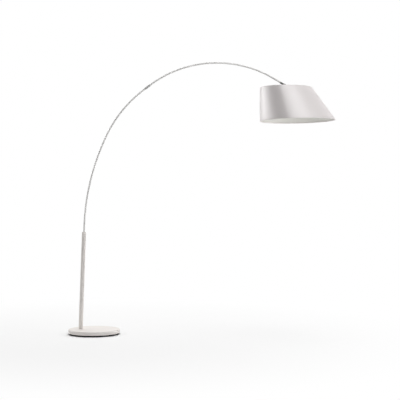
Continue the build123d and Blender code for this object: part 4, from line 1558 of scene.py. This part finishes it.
@dataclass
class Studio:
    """White studio: floor, sky, soft lamps and the camera.

    Attributes:
        eye: Place of the camera, which looks along +Y.
        lens: Focal length of the camera, in millimetres.
        sensor: Width of its sensor, in millimetres.
        sight: How far it sees.
        floor_side: Half of the floor's side.
        floor_colour: Colour of the floor.
        shadow_reach: Distances from the origin between which the floor's shadow fades to white.
        shadow_share: Share of the floor's own shading that shows on the near side of these.
        contact_reach: Distances between which its whole shading, under the base's edge, falls to that.
        ambient: Strength of the light from all round.
        boxes: The soft lamps.
    """

    eye: Point = (0.755, -7.265, 0.956)
    lens: float = 91.7
    sensor: float = 36.0
    sight: float = 200.0
    floor_side: float = 30.0
    floor_colour: Colour = (0.93, 0.93, 0.93)
    shadow_reach: Range = (0.5, 2.6)
    shadow_share: float = 0.42
    contact_reach: Range = (0.185, 0.265)
    ambient: float = 0.25
    boxes: tuple[SoftBox, ...] = (
        SoftBox("back_left_box", (-0.9, 2.4, 4.5), 2.6, 2.0, 110.0, Effect.DIFFUSE),
        SoftBox("top_box", (1.5, 0.3, 4.9), 3.0, 2.0, 88.0, Effect.DIFFUSE),
        SoftBox("right_fill", (4.3, -1.2, 0.7), 2.0, 1.2, 38.0, Effect.DIFFUSE, (0.9, 0.0, 1.1)),
        SoftBox("left_fill", (-3.4, -0.5, 0.8), 2.0, 1.6, 14.0, Effect.DIFFUSE),
        SoftBox("front_sheen", (1.45, -3.1, 4.15), 4.3, 2.4, 268.0, Effect.GLOSS),
        SoftBox("left_sheen", (-3.3, 1.75, 2.45), 4.7, 1.2, 130.0, Effect.GLOSS),
        SoftBox("right_sheen", (3.9, -1.4, 4.3), 2.2, 1.8, 30.0, Effect.GLOSS, (1.45, 0.0, 1.65)),
        SoftBox("back_right_sheen", (4.2, 1.6, 1.4), 2.0, 2.0, 2.2, Effect.GLOSS, (-0.05, 0.0, 0.75), 32.0),
    )

    def build(self) -> None:
        """Set up floor, sky, lamps and camera."""
        bpy.context.scene.view_settings.view_transform = "Standard"
        self.floor()
        self.sky()
        for box in self.boxes:
            box.light()
        self.camera()

    def camera(self) -> None:
        """Level camera at the picture's viewpoint."""
        data = bpy.data.cameras.new("camera")
        data.lens = self.lens
        data.sensor_width = self.sensor
        data.clip_end = self.sight
        camera = bpy.data.objects.new("camera", data)
        camera.location = self.eye
        camera.rotation_euler = (math.pi / 2, 0.0, 0.0)
        bpy.context.scene.collection.objects.link(camera)
        bpy.context.scene.camera = camera

    def sky(self) -> None:
        """White all round where it is seen, and a plain soft light elsewhere."""
        world = bpy.data.worlds.new("studio")
        bpy.context.scene.world = world
        bench = NodeBench(world, "Background")
        bench.constants({"Color": WHITE})
        limits = {"Value": bench.seen_directly(), "To Min": self.ambient}
        bench.feed("Strength", bench.add("ShaderNodeMapRange", limits).outputs[0])

    def floor(self) -> None:
        """Pale floor that shows the lamp's shadow near the base and is plain white further out."""
        side = self.floor_side
        corners = [(-side, -side, 0), (side, -side, 0), (side, side, 0), (-side, side, 0)]
        mesh = bpy.data.meshes.new("floor")
        mesh.from_pydata(corners, [], [(0, 1, 2, 3)])
        bench = NodeBench(bpy.data.materials.new("studio_floor"))
        colour = (*self.floor_colour, 1)
        bench.constants({"Base Color": colour, "Roughness": 0.9, "Specular IOR Level": 0.0})
        place = bench.place(Space.OBJECT)
        distance = bench.add("ShaderNodeVectorMath", {0: place}, operation="LENGTH").outputs["Value"]
        share = bench.seen_directly()
        for (near, far), least in ((self.shadow_reach, 1 - self.shadow_share), (self.contact_reach, 0.0)):
            limits = {"Value": distance, "From Min": near, "From Max": far, "To Min": least}
            lift = bench.add("ShaderNodeMapRange", limits, interpolation_type="SMOOTHSTEP").outputs[0]
            share = bench.maths("MULTIPLY", lift, share)
        white = bench.add("ShaderNodeEmission", {"Color": WHITE, "Strength": 1.0})
        mix = bench.add("ShaderNodeMixShader", {0: share, 1: bench.shader.outputs[0], 2: white.outputs[0]})
        bench.tree.links.new(mix.outputs[0], bench.tree.nodes["Material Output"].inputs["Surface"])
        mesh.materials.append(bench.owner)
        floor = bpy.data.objects.new("floor", mesh)
        bpy.context.scene.collection.objects.link(floor)


def main() -> None:
    """Build the lamp's groups in order, then the studio."""
    logging.basicConfig(level=logging.INFO, format="%(message)s")
    for group in (Base(), Pole(), Arm(), Swivel(), LampHolder(), Bulb(), Shade(), Wiring()):
        group.build()
    Studio().build()


if __name__ == "__main__":
    main()
